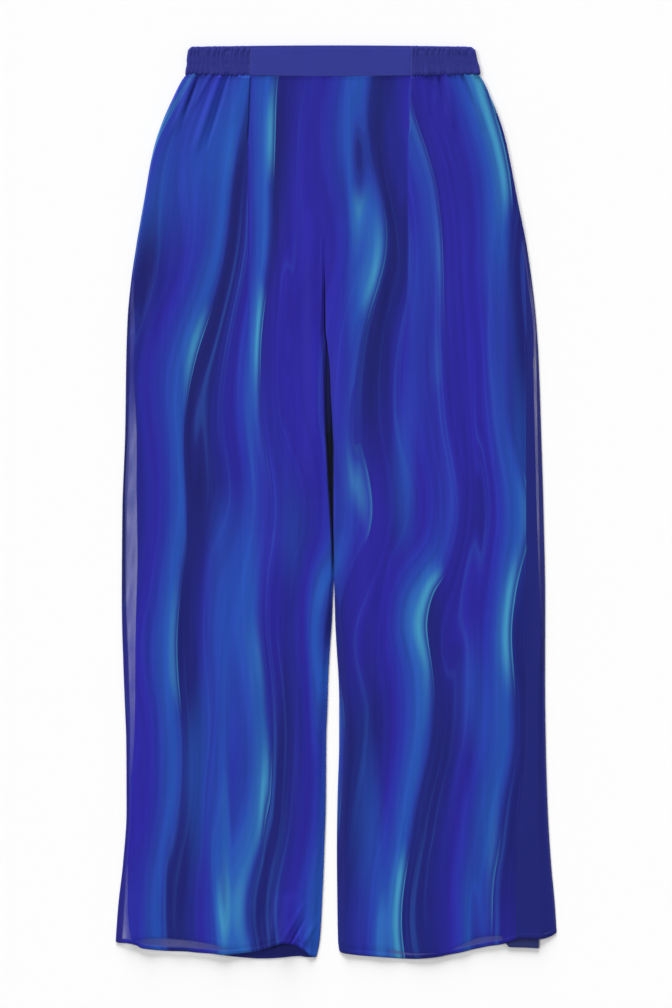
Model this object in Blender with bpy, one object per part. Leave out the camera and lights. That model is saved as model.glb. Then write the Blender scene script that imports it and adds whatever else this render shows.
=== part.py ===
"""Wide-leg pull-on trousers, laid flat on their back.

+X is the wearer's left, +Y points to the waist and +Z points up from the surface they lie on.
Sizes are in millimetres and become metres when a mesh is made.
"""

import math
from collections import namedtuple

import bpy

MM = 0.001

# Overall sizes
LENGTH = 1050.0  # top of the waistband to the lowest point of the hems
CENTRE_X = -4.85  # centre seam, so that the laid-out outline is centred on X = 0
TOP_Y = LENGTH / 2

# Cloth, and the layers that lie on each other
WALL = 1.1
GAP = 0.3
LAYER = WALL + GAP
BACK_UNDER = 0.0
LINING_BACK_UNDER = BACK_UNDER + LAYER
LINING_FRONT_UNDER = LINING_BACK_UNDER + LAYER
FRONT_UNDER = LINING_FRONT_UNDER + LAYER
SEAM_UNDER = BACK_UNDER + LAYER  # a front's edge, where it comes down to the back
SEAM_FLAT = 3.0  # width of the flat seam along an outer edge

# Waistband
BAND_DEPTH = 35.0
BAND_WALL = 2.4
BAND_HALF = 164.6  # half the width of the laid waistband
BAND_TOP_DROP = 1.7  # the top edge is this much lower at the sides
BAND_SIDE_RISE = 2.6  # and the lower edge this much higher
PANEL_HALF = 95.0  # half the width of the plain front panel
BAND_UNDER = 3.0  # underside of the waistband's front half
BAND_ROUND = 0.8  # rounding of the panel's long edges
BAND_FOLD = 3.0  # how far the side folds of the gathered part reach round
BAND_CORNER = 3.5  # rounding of its two upper corners
CHANNELS = 3  # rows of elastic, side by side
CHANNEL_SWELL = 0.9
GATHER_PITCH = 6.5
GATHER_HEIGHT = 0.7

CROTCH = 344.0
LEG_APART = CROTCH + 40.0  # the lining stands back from the inner leg seams from here down
WRAP_LIP = 2.0  # least width of the left back that shows in front

# Silhouette at each level. right and left are distances from the centre seam to the wearer's
# right and left edge. lining_right and lining_left are the lining's distance inside that edge,
# and wrap is the width of the left back that comes round to the front.
Level = namedtuple("Level", "down right left lining_right lining_left wrap")
LEVELS = [
    Level(30, 164.6, 164.6, 3, 3, WRAP_LIP),
    Level(39, 172.0, 173.0, 3, 3, WRAP_LIP),
    Level(62, 183.6, 183.6, 3, 3, WRAP_LIP),
    Level(85, 193.9, 192.8, 3, 3, WRAP_LIP),
    Level(108, 202.0, 199.7, 3, 3, WRAP_LIP),
    Level(131, 207.8, 204.6, 3, 3, WRAP_LIP),
    Level(177, 215.8, 213.4, 4, 3, WRAP_LIP),
    Level(223, 223.9, 222.7, 6, 4, WRAP_LIP),
    Level(270, 230.8, 229.8, 9, 6, 5),
    Level(316, 235.0, 234.8, 11, 8, 10),
    Level(362, 236.5, 237.7, 13, 8, 13),
    Level(440, 237.6, 240.4, 14, 8, 16),
    Level(540, 241.0, 243.4, 14, 8, 20),
    Level(640, 241.6, 245.2, 14, 8, 22),
    Level(730, 239.2, 245.4, 13, 10, 24),
    Level(810, 236.6, 246.8, 12, 12, 27),
    Level(880, 236.8, 249.2, 10, 14, 31),
    Level(940, 241.0, 253.0, 9, 17, 37),
    Level(990, 246.0, 257.0, 12, 19, 43),
    Level(1050, 250.0, 260.0, 16, 22, 49),
]

# Half of the gap between the legs, on each leg's own side of the centre line
Inseam = namedtuple("Inseam", "down right left lining")
INSEAMS = [
    Inseam(0, 0.15, 0.15, 0.0),
    Inseam(CROTCH, 0.15, 0.15, 0.0),
    Inseam(LEG_APART, 0.5, 0.7, 11.0),
    Inseam(500, 0.5, 1.2, 12.0),
    Inseam(620, 0.9, 2.9, 12.0),
    Inseam(660, 2.9, 4.6, 12.0),
    Inseam(720, 5.0, 6.4, 12.0),
    Inseam(780, 6.6, 7.4, 12.0),
    Inseam(880, 8.4, 6.0, 12.0),
    Inseam(960, 11.4, 5.4, 12.0),
    Inseam(1015, 13.6, 6.4, 12.0),
    Inseam(1050, 19.0, 9.0, 12.0),
]

# Hem lines: how far down each layer reaches, by the distance from the centre seam
Hem = namedtuple("Hem", "across back lining front")
RIGHT_HEM = [
    Hem(0, 1047.0, 1034, 1047.0),
    Hem(30, 1046.5, 1034, 1041.0),
    Hem(42, 1045.0, 1034, 1033.0),
    Hem(56, 1047.0, 1034, 1029.5),
    Hem(70, 1048.5, 1034, 1035.0),
    Hem(84, 1048.5, 1035, 1042.0),
    Hem(100, 1046.5, 1035, 1044.5),
    Hem(150, 1043.0, 1033, 1043.0),
    Hem(197, 1039.5, 1029, 1039.5),
    Hem(222, 1034.0, 1025, 1034.0),
    Hem(250, 1032.0, 1022, 1032.0),
]
LEFT_HEM = [
    Hem(0, 1041.0, 1034, 1041.0),
    Hem(30, 1046.0, 1036, 1046.0),
    Hem(75, 1048.5, 1038, 1047.0),
    Hem(111, 1050.0, 1040, 1048.0),
    Hem(145, 1046.5, 1038, 1045.5),
    Hem(175, 1039.0, 1036, 1039.0),
    Hem(205, 1034.0, 1037, 1034.0),
    Hem(232, 1028.5, 1037, 1028.5),
    Hem(250, 1023.5, 1036, 1023.5),
    Hem(262, 1018.0, 1036, 1018.0),
]

# Folds that stand up from the fronts: a soft ridge from one point to another, given by distances
# from the centre seam and the waistband's top, with its height and half its width
Fold = namedtuple("Fold", "side from_across from_down to_across to_down height half_width")
FOLDS = [
    # under the gathered waistband
    Fold("right", 163, 30, 205, 100, 1.7, 8),
    Fold("right", 148, 30, 184, 112, 1.5, 8),
    Fold("right", 126, 30, 143, 108, 1.6, 9),
    Fold("left", 113, 30, 121, 96, 1.2, 8),
    Fold("left", 136, 30, 152, 104, 1.5, 9),
    Fold("left", 158, 30, 178, 98, 1.4, 8),
    # beside the centre seam, down past the crotch
    Fold("right", 20, 190, 17, 520, 3.2, 17),
    Fold("left", 18, 190, 19, 520, 3.0, 17),
    # across the right thigh and knee
    Fold("right", 150, 330, 118, 640, 1.4, 26),
    Fold("right", 70, 560, 92, 840, 1.5, 24),
    Fold("left", 95, 380, 128, 700, 1.5, 26),
    Fold("left", 170, 600, 150, 900, 1.3, 24),
    # the right front's hem, turned up beside the inner leg
    Fold("right", 30, 950, 54, 1110, 5.5, 17),
    Fold("right", 12, 960, 32, 1080, 2.4, 12),
    # waves that run up from the hems
    Fold("right", 128, 930, 120, 1130, 2.0, 20),
    Fold("right", 205, 940, 216, 1130, 1.6, 17),
    Fold("left", 55, 930, 62, 1130, 1.6, 20),
    Fold("left", 122, 900, 112, 1130, 2.4, 22),
    Fold("left", 192, 930, 186, 1130, 1.8, 18),
]

# Pleats under the ends of the plain front panel: a step in the cloth that fades out downwards
Pleat = namedtuple("Pleat", "side across slant length height")
PLEATS = [
    Pleat("right", 94.0, 3.5, 66.0, 1.6),
    Pleat("left", 94.5, -3.0, 52.0, 1.5),
]
PLEAT_STEP = 2.5  # width of the step's steep side
PLEAT_BACK = 20.0  # width of the slope behind it

# Mesh rows down the legs, and columns across, from the inner edge to the outer one
ROWS = [0, 14, 30, 48, 68, 92, 122, 158, 198, 236, 270, 300, 326, 352, 384, 424, 476, 540, 606,
        672, 736, 796, 850, 896, 934, 964, 988, 1005, 1014.7]
COLUMNS = 11  # across a flat layer
MIDDLE_COLUMNS = 17  # across a front, between the slopes along its two edges
SLOPE_COLUMNS = 4
INNER_SLOPE = 10.5  # width of the slope down to the inner leg seam
SLOPE_LENGTH = 80.0  # below the crotch, over which that slope grows
SHARP_DEGREES = 40.0

Finish = namedtuple("Finish", "color roughness")
PLAIN_BAND = Finish((0.038, 0.045, 0.29), 0.62)
GATHERED_BAND = Finish((0.031, 0.036, 0.235), 0.66)
PRINTED = Finish((0.024, 0.040, 0.33), 0.55)
PLAIN_BACK = Finish((0.020, 0.024, 0.162), 0.6)
LINING = Finish((0.027, 0.027, 0.122), 0.5)


def clear_scene():
    for old in list(bpy.data.objects):
        bpy.data.objects.remove(old, do_unlink=True)


def smooth(t):
    """Ease from 0 to 1."""
    t = min(max(t, 0.0), 1.0)
    return t * t * (3.0 - 2.0 * t)


def read_table(rows, key, column, at):
    """A column's value between two rows, on a cubic that has no overshoot."""
    xs = [getattr(row, key) for row in rows]
    ys = [getattr(row, column) for row in rows]
    if at <= xs[0]:
        return ys[0]
    if at >= xs[-1]:
        return ys[-1]
    i = max(k for k in range(len(xs) - 1) if xs[k] <= at)
    slopes = [(ys[k + 1] - ys[k]) / (xs[k + 1] - xs[k]) for k in range(len(xs) - 1)]

    def tangent(k):
        if k == 0 or k == len(xs) - 1:
            return slopes[min(k, len(slopes) - 1)]
        before, after = slopes[k - 1], slopes[k]
        if before * after <= 0:
            return 0.0
        return 2.0 * before * after / (before + after)

    span = xs[i + 1] - xs[i]
    t = (at - xs[i]) / span
    start = (1 + 2 * t) * (1 - t) ** 2 * ys[i] + t * (1 - t) ** 2 * span * tangent(i)
    end = t * t * (3 - 2 * t) * ys[i + 1] + t * t * (t - 1) * span * tangent(i + 1)
    return start + end


def edge(side, down):
    return read_table(LEVELS, "down", side, down)


def lining_inset(side, down):
    return read_table(LEVELS, "down", "lining_" + side, down)


def wrap_width(down):
    return read_table(LEVELS, "down", "wrap", down)


def inner_edge(side, down):
    return read_table(INSEAMS, "down", side, down)


def hem(side, layer, across):
    rows = RIGHT_HEM if side == "right" else LEFT_HEM
    return read_table(rows, "across", layer, across)


def fold_height(fold, across, down):
    run = (fold.to_across - fold.from_across, fold.to_down - fold.from_down)
    length = math.hypot(*run)
    offset = (across - fold.from_across, down - fold.from_down)
    along = (offset[0] * run[0] + offset[1] * run[1]) / length**2
    aside = abs(offset[0] * run[1] - offset[1] * run[0]) / length
    if not 0 < along < 1 or aside >= fold.half_width:
        return 0.0
    ridge = math.cos(0.5 * math.pi * aside / fold.half_width) ** 2
    return fold.height * ridge * math.sin(math.pi * along) ** 0.8


def pleat_height(pleat, across, down):
    fade = 1.0 - (down - BAND_DEPTH) / pleat.length
    if fade <= 0:
        return 0.0
    crest = pleat.across + pleat.slant * (1.0 - fade)
    aside = across - crest
    if aside < 0:
        return pleat.height * fade * smooth(1.0 + aside / PLEAT_STEP)
    return pleat.height * fade * smooth(1.0 - aside / PLEAT_BACK)


def relief(side, across, down):
    """How far a front stands above the lining at a point."""
    folds = sum(fold_height(fold, across, down) for fold in FOLDS if fold.side == side)
    pleats = sum(pleat_height(pleat, across, down) for pleat in PLEATS if pleat.side == side)
    return folds + pleats


def front_under(side, across, down):
    """Underside of a front: it comes down to the back's level at its outer and inner edges."""
    from_edge = edge(side, down) - across
    reach = lining_inset(side, down) - 1.0
    flat = min(SEAM_FLAT, 0.3 * reach)
    outer = smooth((from_edge - flat) / (reach - flat))
    grown = smooth((down - LEG_APART) / SLOPE_LENGTH)
    inner = 1.0 - grown * (1.0 - smooth((across - inner_edge(side, down)) / INNER_SLOPE))
    raised = min(outer, inner)
    level = SEAM_UNDER + (FRONT_UNDER - SEAM_UNDER) * raised
    return level + relief(side, across, down) * raised


def place(side, across, down, z):
    """A point on one side of the centre seam, in metres."""
    sign = 1.0 if side == "left" else -1.0
    return ((CENTRE_X + sign * across) * MM, (TOP_Y - down) * MM, z * MM)


def add_wall(name, upper, lower, finish):
    """One closed body between two grids of points, which lie above and below each other."""
    rows, columns = len(upper), len(upper[0])
    points = [p for row in upper for p in row] + [p for row in lower for p in row]
    start = rows * columns

    def at(row, column, layer):
        return layer * start + row * columns + column

    faces = []
    for r in range(rows - 1):
        for c in range(columns - 1):
            corners = [(r, c), (r, c + 1), (r + 1, c + 1), (r + 1, c)]
            faces.append([at(*corner, 0) for corner in corners])
            faces.append([at(*corner, 1) for corner in reversed(corners)])
        for c, turn in ((0, 1), (columns - 1, -1)):
            faces.append([at(r, c, 0), at(r + 1, c, 0), at(r + 1, c, 1), at(r, c, 1)][::turn])
    for c in range(columns - 1):
        for r, turn in ((0, -1), (rows - 1, 1)):
            faces.append([at(r, c, 0), at(r, c + 1, 0), at(r, c + 1, 1), at(r, c, 1)][::turn])

    mesh = bpy.data.meshes.new(name)
    mesh.from_pydata(points, [], faces)
    mesh.update()
    outward = sum((f.center.z * f.normal.z) * f.area for f in mesh.polygons) > 0
    if not outward:
        mesh.flip_normals()
    mesh.shade_smooth()
    mesh.set_sharp_from_angle(angle=math.radians(SHARP_DEGREES))
    piece = bpy.data.objects.new(name, mesh)
    bpy.context.scene.collection.objects.link(piece)

    material = bpy.data.materials.new(name)
    material.use_nodes = True
    shader = material.node_tree.nodes["Principled BSDF"]
    shader.inputs["Base Color"].default_value = (*finish.color, 1.0)
    shader.inputs["Roughness"].default_value = finish.roughness
    shader.inputs["Metallic"].default_value = 0.0
    mesh.materials.append(material)
    return piece


def band_top(across):
    return BAND_TOP_DROP * (across / BAND_HALF) ** 2


def band_bottom(across):
    return BAND_DEPTH - BAND_SIDE_RISE * (across / BAND_HALF) ** 2


def level_down(row, across, hem_down):
    """Distance below the waistband's top, on a row between the waistband and the hem."""
    top = band_bottom(across) + GAP
    return top + row / ROWS[-1] * (hem_down - top)


def spread(first, last, count):
    return [first + (last - first) * i / (count - 1) for i in range(count)]


def leg_grid(side, layer, columns, height):
    """Rows of points. columns gives the distances across at a level, and height gives z."""
    grid = []
    for row in ROWS:
        line = []
        for i, across in enumerate(columns(level_down(row, 0.0, LENGTH))):
            down = level_down(row, across, hem(side, layer, across))
            across = columns(down)[i]
            line.append(place(side, across, down, height(across, down)))
        grid.append(line)
    return grid


def add_leg_panel(name, side, layer, columns, under, finish):
    lower = leg_grid(side, layer, columns, under)
    upper = leg_grid(side, layer, columns, lambda across, down: under(across, down) + WALL)
    add_wall(name, upper, lower, finish)


def front_columns(side, down):
    """The left front ends at its side seam, and the right one at the outline."""
    first = inner_edge(side, down)
    hidden = wrap_width(down) + GAP if side == "left" else 0.0
    last = edge(side, down) - hidden
    slope = max(lining_inset(side, down) - 1.0 - hidden, 3.0)
    inner = spread(first, first + INNER_SLOPE, SLOPE_COLUMNS)
    middle = spread(first + INNER_SLOPE, last - slope, MIDDLE_COLUMNS)
    outer = spread(last - slope, last, SLOPE_COLUMNS + 1)
    return inner[:-1] + middle + outer[1:]


def add_front(side):
    add_leg_panel(
        "front_" + side, side, "front",
        lambda down: front_columns(side, down),
        lambda across, down: front_under(side, across, down),
        PRINTED,
    )


def add_lining(side, ply, under):
    def columns(down):
        first = inner_edge(side, down) + read_table(INSEAMS, "down", "lining", down)
        return spread(first, edge(side, down) - lining_inset(side, down), COLUMNS)

    add_leg_panel(f"lining_{ply}_{side}", side, "lining", columns, lambda a, d: under, LINING)


def add_back_right():
    def columns(down):
        return spread(inner_edge("right", down), edge("right", down), COLUMNS)

    add_leg_panel("back_right", "right", "back", columns, lambda a, d: BACK_UNDER, PLAIN_BACK)


def wrapped_section(down):
    """The left back's outer and inner faces at one level, from the inner leg round the side."""
    outline = edge("left", down)
    turn = outline - WALL  # where the lower ply ends and the fold begins
    corner = 0.4 * WALL
    flat = spread(inner_edge("left", down), turn, COLUMNS)[:-1]
    outer = [(across, BACK_UNDER) for across in flat]
    inner = [(across, WALL) for across in flat]
    outer += [(outline - corner, BACK_UNDER), (outline, corner), (outline, SEAM_UNDER + corner)]
    inner += [(turn, WALL), (turn, WALL + 0.3 * GAP), (turn, WALL + 0.7 * GAP)]
    wrap = wrap_width(down)
    rise = min(0.75 * wrap, lining_inset("left", down) - 1.0)
    for i, width in enumerate(spread(WALL, rise, SLOPE_COLUMNS + 1) + [wrap]):
        across = outline - width
        under = front_under("left", across, down)
        outer.append((across + (corner if i == 0 else 0.0), under + WALL))
        inner.append((across, under))
    return outer, inner


def add_back_left():
    faces = [[], []]
    for row in ROWS:
        nominal = wrapped_section(level_down(row, 0.0, LENGTH))
        for face, grid in enumerate(faces):
            line = []
            for i, (across, _) in enumerate(nominal[face]):
                down = level_down(row, across, hem("left", "back", across))
                across, z = wrapped_section(down)[face][i]
                line.append(place("left", across, down, z))
            grid.append(line)
    add_wall("back_left", faces[1], faces[0], PLAIN_BACK)


def add_band_panel():
    """The plain panel: flat, with its long edges rounded."""
    edges = [(0.0, BAND_ROUND), (BAND_ROUND, 0.0), (BAND_DEPTH / 2, 0.0),
             (BAND_DEPTH - BAND_ROUND, 0.0), (BAND_DEPTH, BAND_ROUND)]
    upper, lower = [], []
    for depth, rounding in edges:
        high, low = [], []
        for across in spread(GAP / 2 - PANEL_HALF, PANEL_HALF - GAP / 2, COLUMNS):
            top, bottom = band_top(across), band_bottom(across)
            down = top + (bottom - top) * depth / BAND_DEPTH
            high.append(place("left", across, down, BAND_UNDER + BAND_WALL - 0.6 * rounding))
            low.append(place("left", across, down, BAND_UNDER))
        upper.append(high)
        lower.append(low)
    add_wall("waistband_front", upper, lower, PLAIN_BAND)


def gathered_section(swell, half_width):
    """The gathered waistband at one level, from its right end round the back to its left end.

    swell is 1 along the middle of a channel and 0 on its stitching."""
    reach = half_width - BAND_FOLD
    start = PANEL_HALF + GAP / 2
    gathers = round((reach - start) / GATHER_PITCH)
    crest = BAND_UNDER + BAND_WALL + CHANNEL_SWELL * swell
    gather = GATHER_HEIGHT * (0.35 + 0.65 * swell)
    half = []
    for i, across in enumerate(spread(start, reach, 2 * gathers + 1)):
        half.append(((across, crest + gather * (i % 2)), (across, BAND_UNDER)))
    bulge = 0.5 * swell  # the channels stand out at the side fold as well
    middle = 0.5 * (BAND_UNDER + BAND_WALL)
    half += [
        ((half_width - 0.9 + bulge, crest - 0.7), (reach + 0.9, BAND_UNDER)),
        ((half_width - 0.5 + bulge, 0.5 * crest), (reach + 1.1, middle)),
        ((half_width - 1.4, BACK_UNDER), (reach + 0.9, BAND_WALL)),
    ]
    half += [((across, BACK_UNDER), (across, BAND_WALL)) for across in spread(0.85 * reach, 0, 6)]
    other = [((-outer, z), (-inner, inner_z)) for (outer, z), (inner, inner_z) in half[:-1]]
    return half + other[::-1]


def add_gathered_band():
    steps = 2 * CHANNELS
    rows = [[], []]
    for step in range(steps + 1):
        half_width = BAND_HALF - (BAND_CORNER if step == 0 else 0.0)
        section = gathered_section(step % 2, half_width)
        for face, grid in enumerate(rows):
            line = []
            for across, z in (pair[face] for pair in section):
                top, bottom = band_top(across), band_bottom(across)
                line.append(place("left", across, top + (bottom - top) * step / steps, z))
            grid.append(line)
    add_wall("waistband_back", rows[0], rows[1], GATHERED_BAND)


clear_scene()
for side in ("right", "left"):
    add_front(side)
    add_lining(side, "front", LINING_FRONT_UNDER)
    add_lining(side, "back", LINING_BACK_UNDER)
add_back_right()
add_back_left()
add_band_panel()
add_gathered_band()
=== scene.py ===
import math

import bpy
import numpy as np
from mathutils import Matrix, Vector


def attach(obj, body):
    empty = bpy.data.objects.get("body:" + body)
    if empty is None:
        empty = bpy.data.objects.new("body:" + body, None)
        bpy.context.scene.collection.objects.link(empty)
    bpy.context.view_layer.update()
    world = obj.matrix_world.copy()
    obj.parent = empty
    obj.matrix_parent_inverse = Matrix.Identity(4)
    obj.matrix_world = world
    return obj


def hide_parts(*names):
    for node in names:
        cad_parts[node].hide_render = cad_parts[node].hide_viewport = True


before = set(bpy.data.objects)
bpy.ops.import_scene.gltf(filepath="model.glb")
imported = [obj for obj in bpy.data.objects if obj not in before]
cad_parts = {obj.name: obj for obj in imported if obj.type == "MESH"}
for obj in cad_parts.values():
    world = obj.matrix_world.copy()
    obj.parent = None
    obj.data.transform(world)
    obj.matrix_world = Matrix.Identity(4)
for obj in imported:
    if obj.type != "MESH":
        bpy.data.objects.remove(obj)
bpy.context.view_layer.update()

print("frame loaded:", ", ".join(sorted(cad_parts)))

# Wide-leg pull-on trousers, laid flat and face up. The wearer's left is at +X, the waist at +Y.
# Tables and functions are in millimetres; "across" is counted from the centre seam and "down"
# from the top of the waistband. addSheet turns them into metres.
mm = 0.001
garment = {"length": 1050, "centreX": -4.85, "topY": 525}

# Straight above, with the waist at the top of the frame
shot = {"height": 3.2, "frameHeight": 1.1602, "aim": (-0.0003, -0.0023), "sensor": 36, "clipEnd": 50}

# Soft studio light: a pale sweep in a bright surround, a low light from beyond the waist whose
# short shadows fall past the hems, and a higher one from the side that shows the gathers
studio = {
    "floorSize": 36, "floorColour": "#f6f6f6", "floorRoughness": 0.9, "floorSpecular": 0.1,
    "surround": 0.33,
    "lights": {
        "waistLight": {"from": (-0.1, 1, 0.27), "softness": 27, "strength": 5.75},
        "sideLight": {"from": (-0.8, 0.3, 1), "softness": 24, "strength": 1.1},
    },
}


def toLinear(hexColour):
    parts = [int(hexColour[i:i + 2], 16) / 255 for i in (1, 3, 5)]
    return tuple(p / 12.92 if p <= 0.04045 else ((p + 0.055) / 1.055) ** 2.4 for p in parts)


def colour(hexColour):
    return (*toLinear(hexColour), 1.0)


def link(thing):
    bpy.context.scene.collection.objects.link(thing)
    return thing


def addNode(tree, kind, settings=None, links=None):
    # kind is a shader node's. settings are its own or, by name or number, its sockets'; stops are a
    # colour ramp's
    node = tree.nodes.new("ShaderNode" + kind)
    for key, value in (settings or {}).items():
        if key == "stops":
            elements = node.color_ramp.elements
            while len(elements) < len(value):
                elements.new(0.5)
            for element, (position, shade) in zip(elements, value):
                element.position = position
                element.color = shade
        elif isinstance(key, str) and hasattr(node, key):
            setattr(node, key, value)
        else:
            node.inputs[key].default_value = value
    for key, socket in (links or {}).items():
        tree.links.new(socket, node.inputs[key])
    return node


def addCamera():
    camera = link(bpy.data.objects.new("camera", bpy.data.cameras.new("camera")))
    camera.location = (*shot["aim"], shot["height"])
    camera.data.sensor_width = shot["sensor"]
    camera.data.lens = shot["sensor"] * shot["height"] / shot["frameHeight"]
    camera.data.clip_end = shot["clipEnd"]
    bpy.context.scene.camera = camera
    bpy.context.scene.view_settings.view_transform = "Standard"


def addStudio():
    half = studio["floorSize"] / 2
    mesh = bpy.data.meshes.new("floor")
    mesh.from_pydata([(-half, -half, 0), (half, -half, 0), (half, half, 0), (-half, half, 0)],
                     [], [(0, 1, 2, 3)])
    paper = bpy.data.materials.new("paperSweep")
    paper.use_nodes = True
    shader = paper.node_tree.nodes["Principled BSDF"]
    shader.inputs["Base Color"].default_value = colour(studio["floorColour"])
    shader.inputs["Roughness"].default_value = studio["floorRoughness"]
    shader.inputs["Specular IOR Level"].default_value = studio["floorSpecular"]
    mesh.materials.append(paper)
    link(bpy.data.objects.new("floor", mesh))

    for name, light in studio["lights"].items():
        data = bpy.data.lights.new(name, "SUN")
        data.angle = math.radians(light["softness"])
        data.energy = light["strength"]
        lamp = link(bpy.data.objects.new(name, data))
        lamp.rotation_mode = "QUATERNION"
        lamp.rotation_quaternion = (-Vector(light["from"])).to_track_quat("-Z", "Y")

    world = bpy.data.worlds.new("surround")
    world.use_nodes = True
    background = world.node_tree.nodes["Background"]
    background.inputs["Color"].default_value = (1, 1, 1, 1)
    background.inputs["Strength"].default_value = studio["surround"]
    bpy.context.scene.world = world


addCamera()
addStudio()
print("camera and studio ready")


# The laid outline: from the centre line to each edge. wrap is how far the left back comes round
# to the front, and shows how much of that is seen: higher up the left front lies over it.
outline = {
    "columns": ("down", "right", "left", "wrap", "shows"),
    "rows": [
        (30, 164.6, 164.6, 2, 0.1), (39, 172, 173, 2, 0.1), (62, 183.6, 183.6, 2, 0.1),
        (85, 193.9, 192.8, 2, 0.1), (108, 202, 199.7, 2, 0.1), (131, 207.8, 204.6, 2, 0.1),
        (177, 215.8, 213.4, 2, 0.1), (204, 220.6, 218.9, 2.6, 0.1), (223, 223.9, 222.7, 3.4, 3),
        (232, 225.3, 224.2, 4, 4), (270, 230.8, 229.8, 7.2, 7.2), (316, 235, 234.8, 11, 11),
        (362, 236.5, 237.7, 14.2, 14.2), (440, 237.6, 240.4, 17.1, 17.1), (540, 241, 243.4, 20.1, 20.1),
        (640, 241.6, 245.2, 21.9, 21.9), (730, 239.2, 245, 23.4, 23.4), (810, 236.4, 246, 25.2, 25.2),
        (880, 236.2, 248.2, 33.5, 33.5), (940, 240.2, 251.9, 39.9, 39.9), (990, 245.8, 256.5, 45, 45),
        (1050, 250, 260, 49, 49),
    ],
}

# In from each laid edge: where the seam's double cloth ends and where the lining begins, and how
# clear the unlined strip between them is
sides = {
    "gap": (0.45, 0.2),  # between columns of points there: at most, and as a share of the strip
    "columns": ("down", "seam", "lining", "clear"),
    "right": [
        (35, 1.6, 3, 0), (230, 1.6, 3.2, 0), (262, 1.2, 3.4, 0.1), (280, 1.2, 4.4, 0.4),
        (327, 3.4, 8.8, 0.5), (373, 4.4, 9.2, 0.3), (407, 3.8, 11, 0.5), (442, 2.9, 13, 0.95),
        (500, 2.3, 15.2, 1), (546, 3.4, 17, 1), (592, 3.6, 17.8, 1), (638, 4.3, 16.8, 1),
        (695, 5.6, 14.4, 1), (753, 5.4, 12, 0.85), (822, 4.1, 7.6, 0.6), (860, 4, 6, 0),
        (930, 4.2, 6.2, 0), (951, 4.5, 7.1, 0.6), (983, 7, 10.4, 1.1), (1010, 7.3, 13.8, 1.25),
        (1027, 7.2, 17.5, 1.25), (1050, 7.5, 20, 1.2),
    ],
    "left": [
        (35, 1.2, 1.9, 0), (212, 1.1, 1.9, 0), (226, 1, 3, 0.7), (234, 1, 4.6, 0.8),
        (252, 1, 5.2, 0.85), (280, 1, 5.4, 0.8), (304, 1, 4.6, 0.85), (327, 1.3, 4.3, 1.2),
        (373, 3, 6.7, 1.35), (407, 3.6, 7.3, 1.35), (476, 4.6, 7.9, 1.35), (522, 5, 8.2, 1.3),
        (592, 5.4, 7.8, 0.85), (638, 4.5, 6.4, 0.4), (680, 3.6, 6, 0.12), (720, 2.6, 8, 0),
        (810, 2.6, 11, 0), (880, 2.6, 14, 0), (940, 2.6, 17, 0), (990, 2.6, 19, 0),
        (1050, 2.6, 22, 0),
    ],
}

# The fronts' inner edges, from the centre line: negative past it. Between the legs the right front
# slopes down under the left one's lip, and further down the legs part. Fall is how far an edge
# comes down to the back, over the width of its slope.
inseam = {
    "legsPart": 609,
    "columns": ("down", "right", "left", "rightFall", "leftFall", "rightSlope", "leftSlope"),
    "rows": [
        (0, 0.15, 0.15, 0, 0, 3, 3), (150, 0.15, 0.15, 0, 0, 3, 3), (190, 2.4, -2.1, 0, 0, 3, 3),
        (235, 8.9, -8.6, 0.1, 0, 3, 3), (281, 9.3, -7.8, 0.25, 0.1, 3, 3),
        (327, 9.2, -7.2, 0.5, 0.1, 5, 3), (345, 7.6, -5, 0.8, 0.1, 4.5, 3),
        (376, 7.2, -2.1, 1, 0.1, 3.2, 3), (407, 7.2, -0.9, 1, 0.1, 2.6, 3),
        (442, 6.4, 1.1, 1, 0.1, 2.2, 3), (465, 5.2, 2.1, 1, 0.1, 1.9, 3),
        (500, 3.4, 2, 1, 0.1, 2, 3), (540, 0.8, 1.9, 1, 0.1, 2.2, 3),
        (580, -1.4, 2.2, 1, 0.25, 2.6, 3), (609, -2.1, 2.5, 1, 0.6, 4, 4), (626, -1, 3, 1, 0.9, 5, 5),
        (661, 0.5, 3.9, 1, 1, 7, 7), (695, 3, 5.7, 1, 1, 8, 8), (730, 4.8, 7.9, 1, 1, 9, 9),
        (753, 5.4, 8.5, 1, 1, 10, 10), (799, 7.1, 8.5, 1, 1, 10.5, 10.5),
        (868, 7.5, 6.5, 1, 1, 10.5, 10.5), (925, 9.3, 5.8, 1, 1, 10.5, 10.5),
        (983, 11.6, 6.3, 1, 1, 10.5, 10.5), (1029, 14.4, 7.1, 1, 1, 10, 10),
        (1041, 16.7, 8.5, 1, 1, 9, 9), (1050, 19, 9.5, 1, 1, 9, 9),
    ],
}

# The backs' inner edges: a straight seam, and the fronts' edges where the legs are apart
backInseam = {
    "columns": ("down", "right", "left"),
    "rows": [(0, 0.15, 0.15), (500, 0.15, 0.15), (540, -0.3, 0.6), (580, -1.2, 1.5)]
    + [row[:3] for row in inseam["rows"] if row[0] >= inseam["legsPart"]],
}

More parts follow.
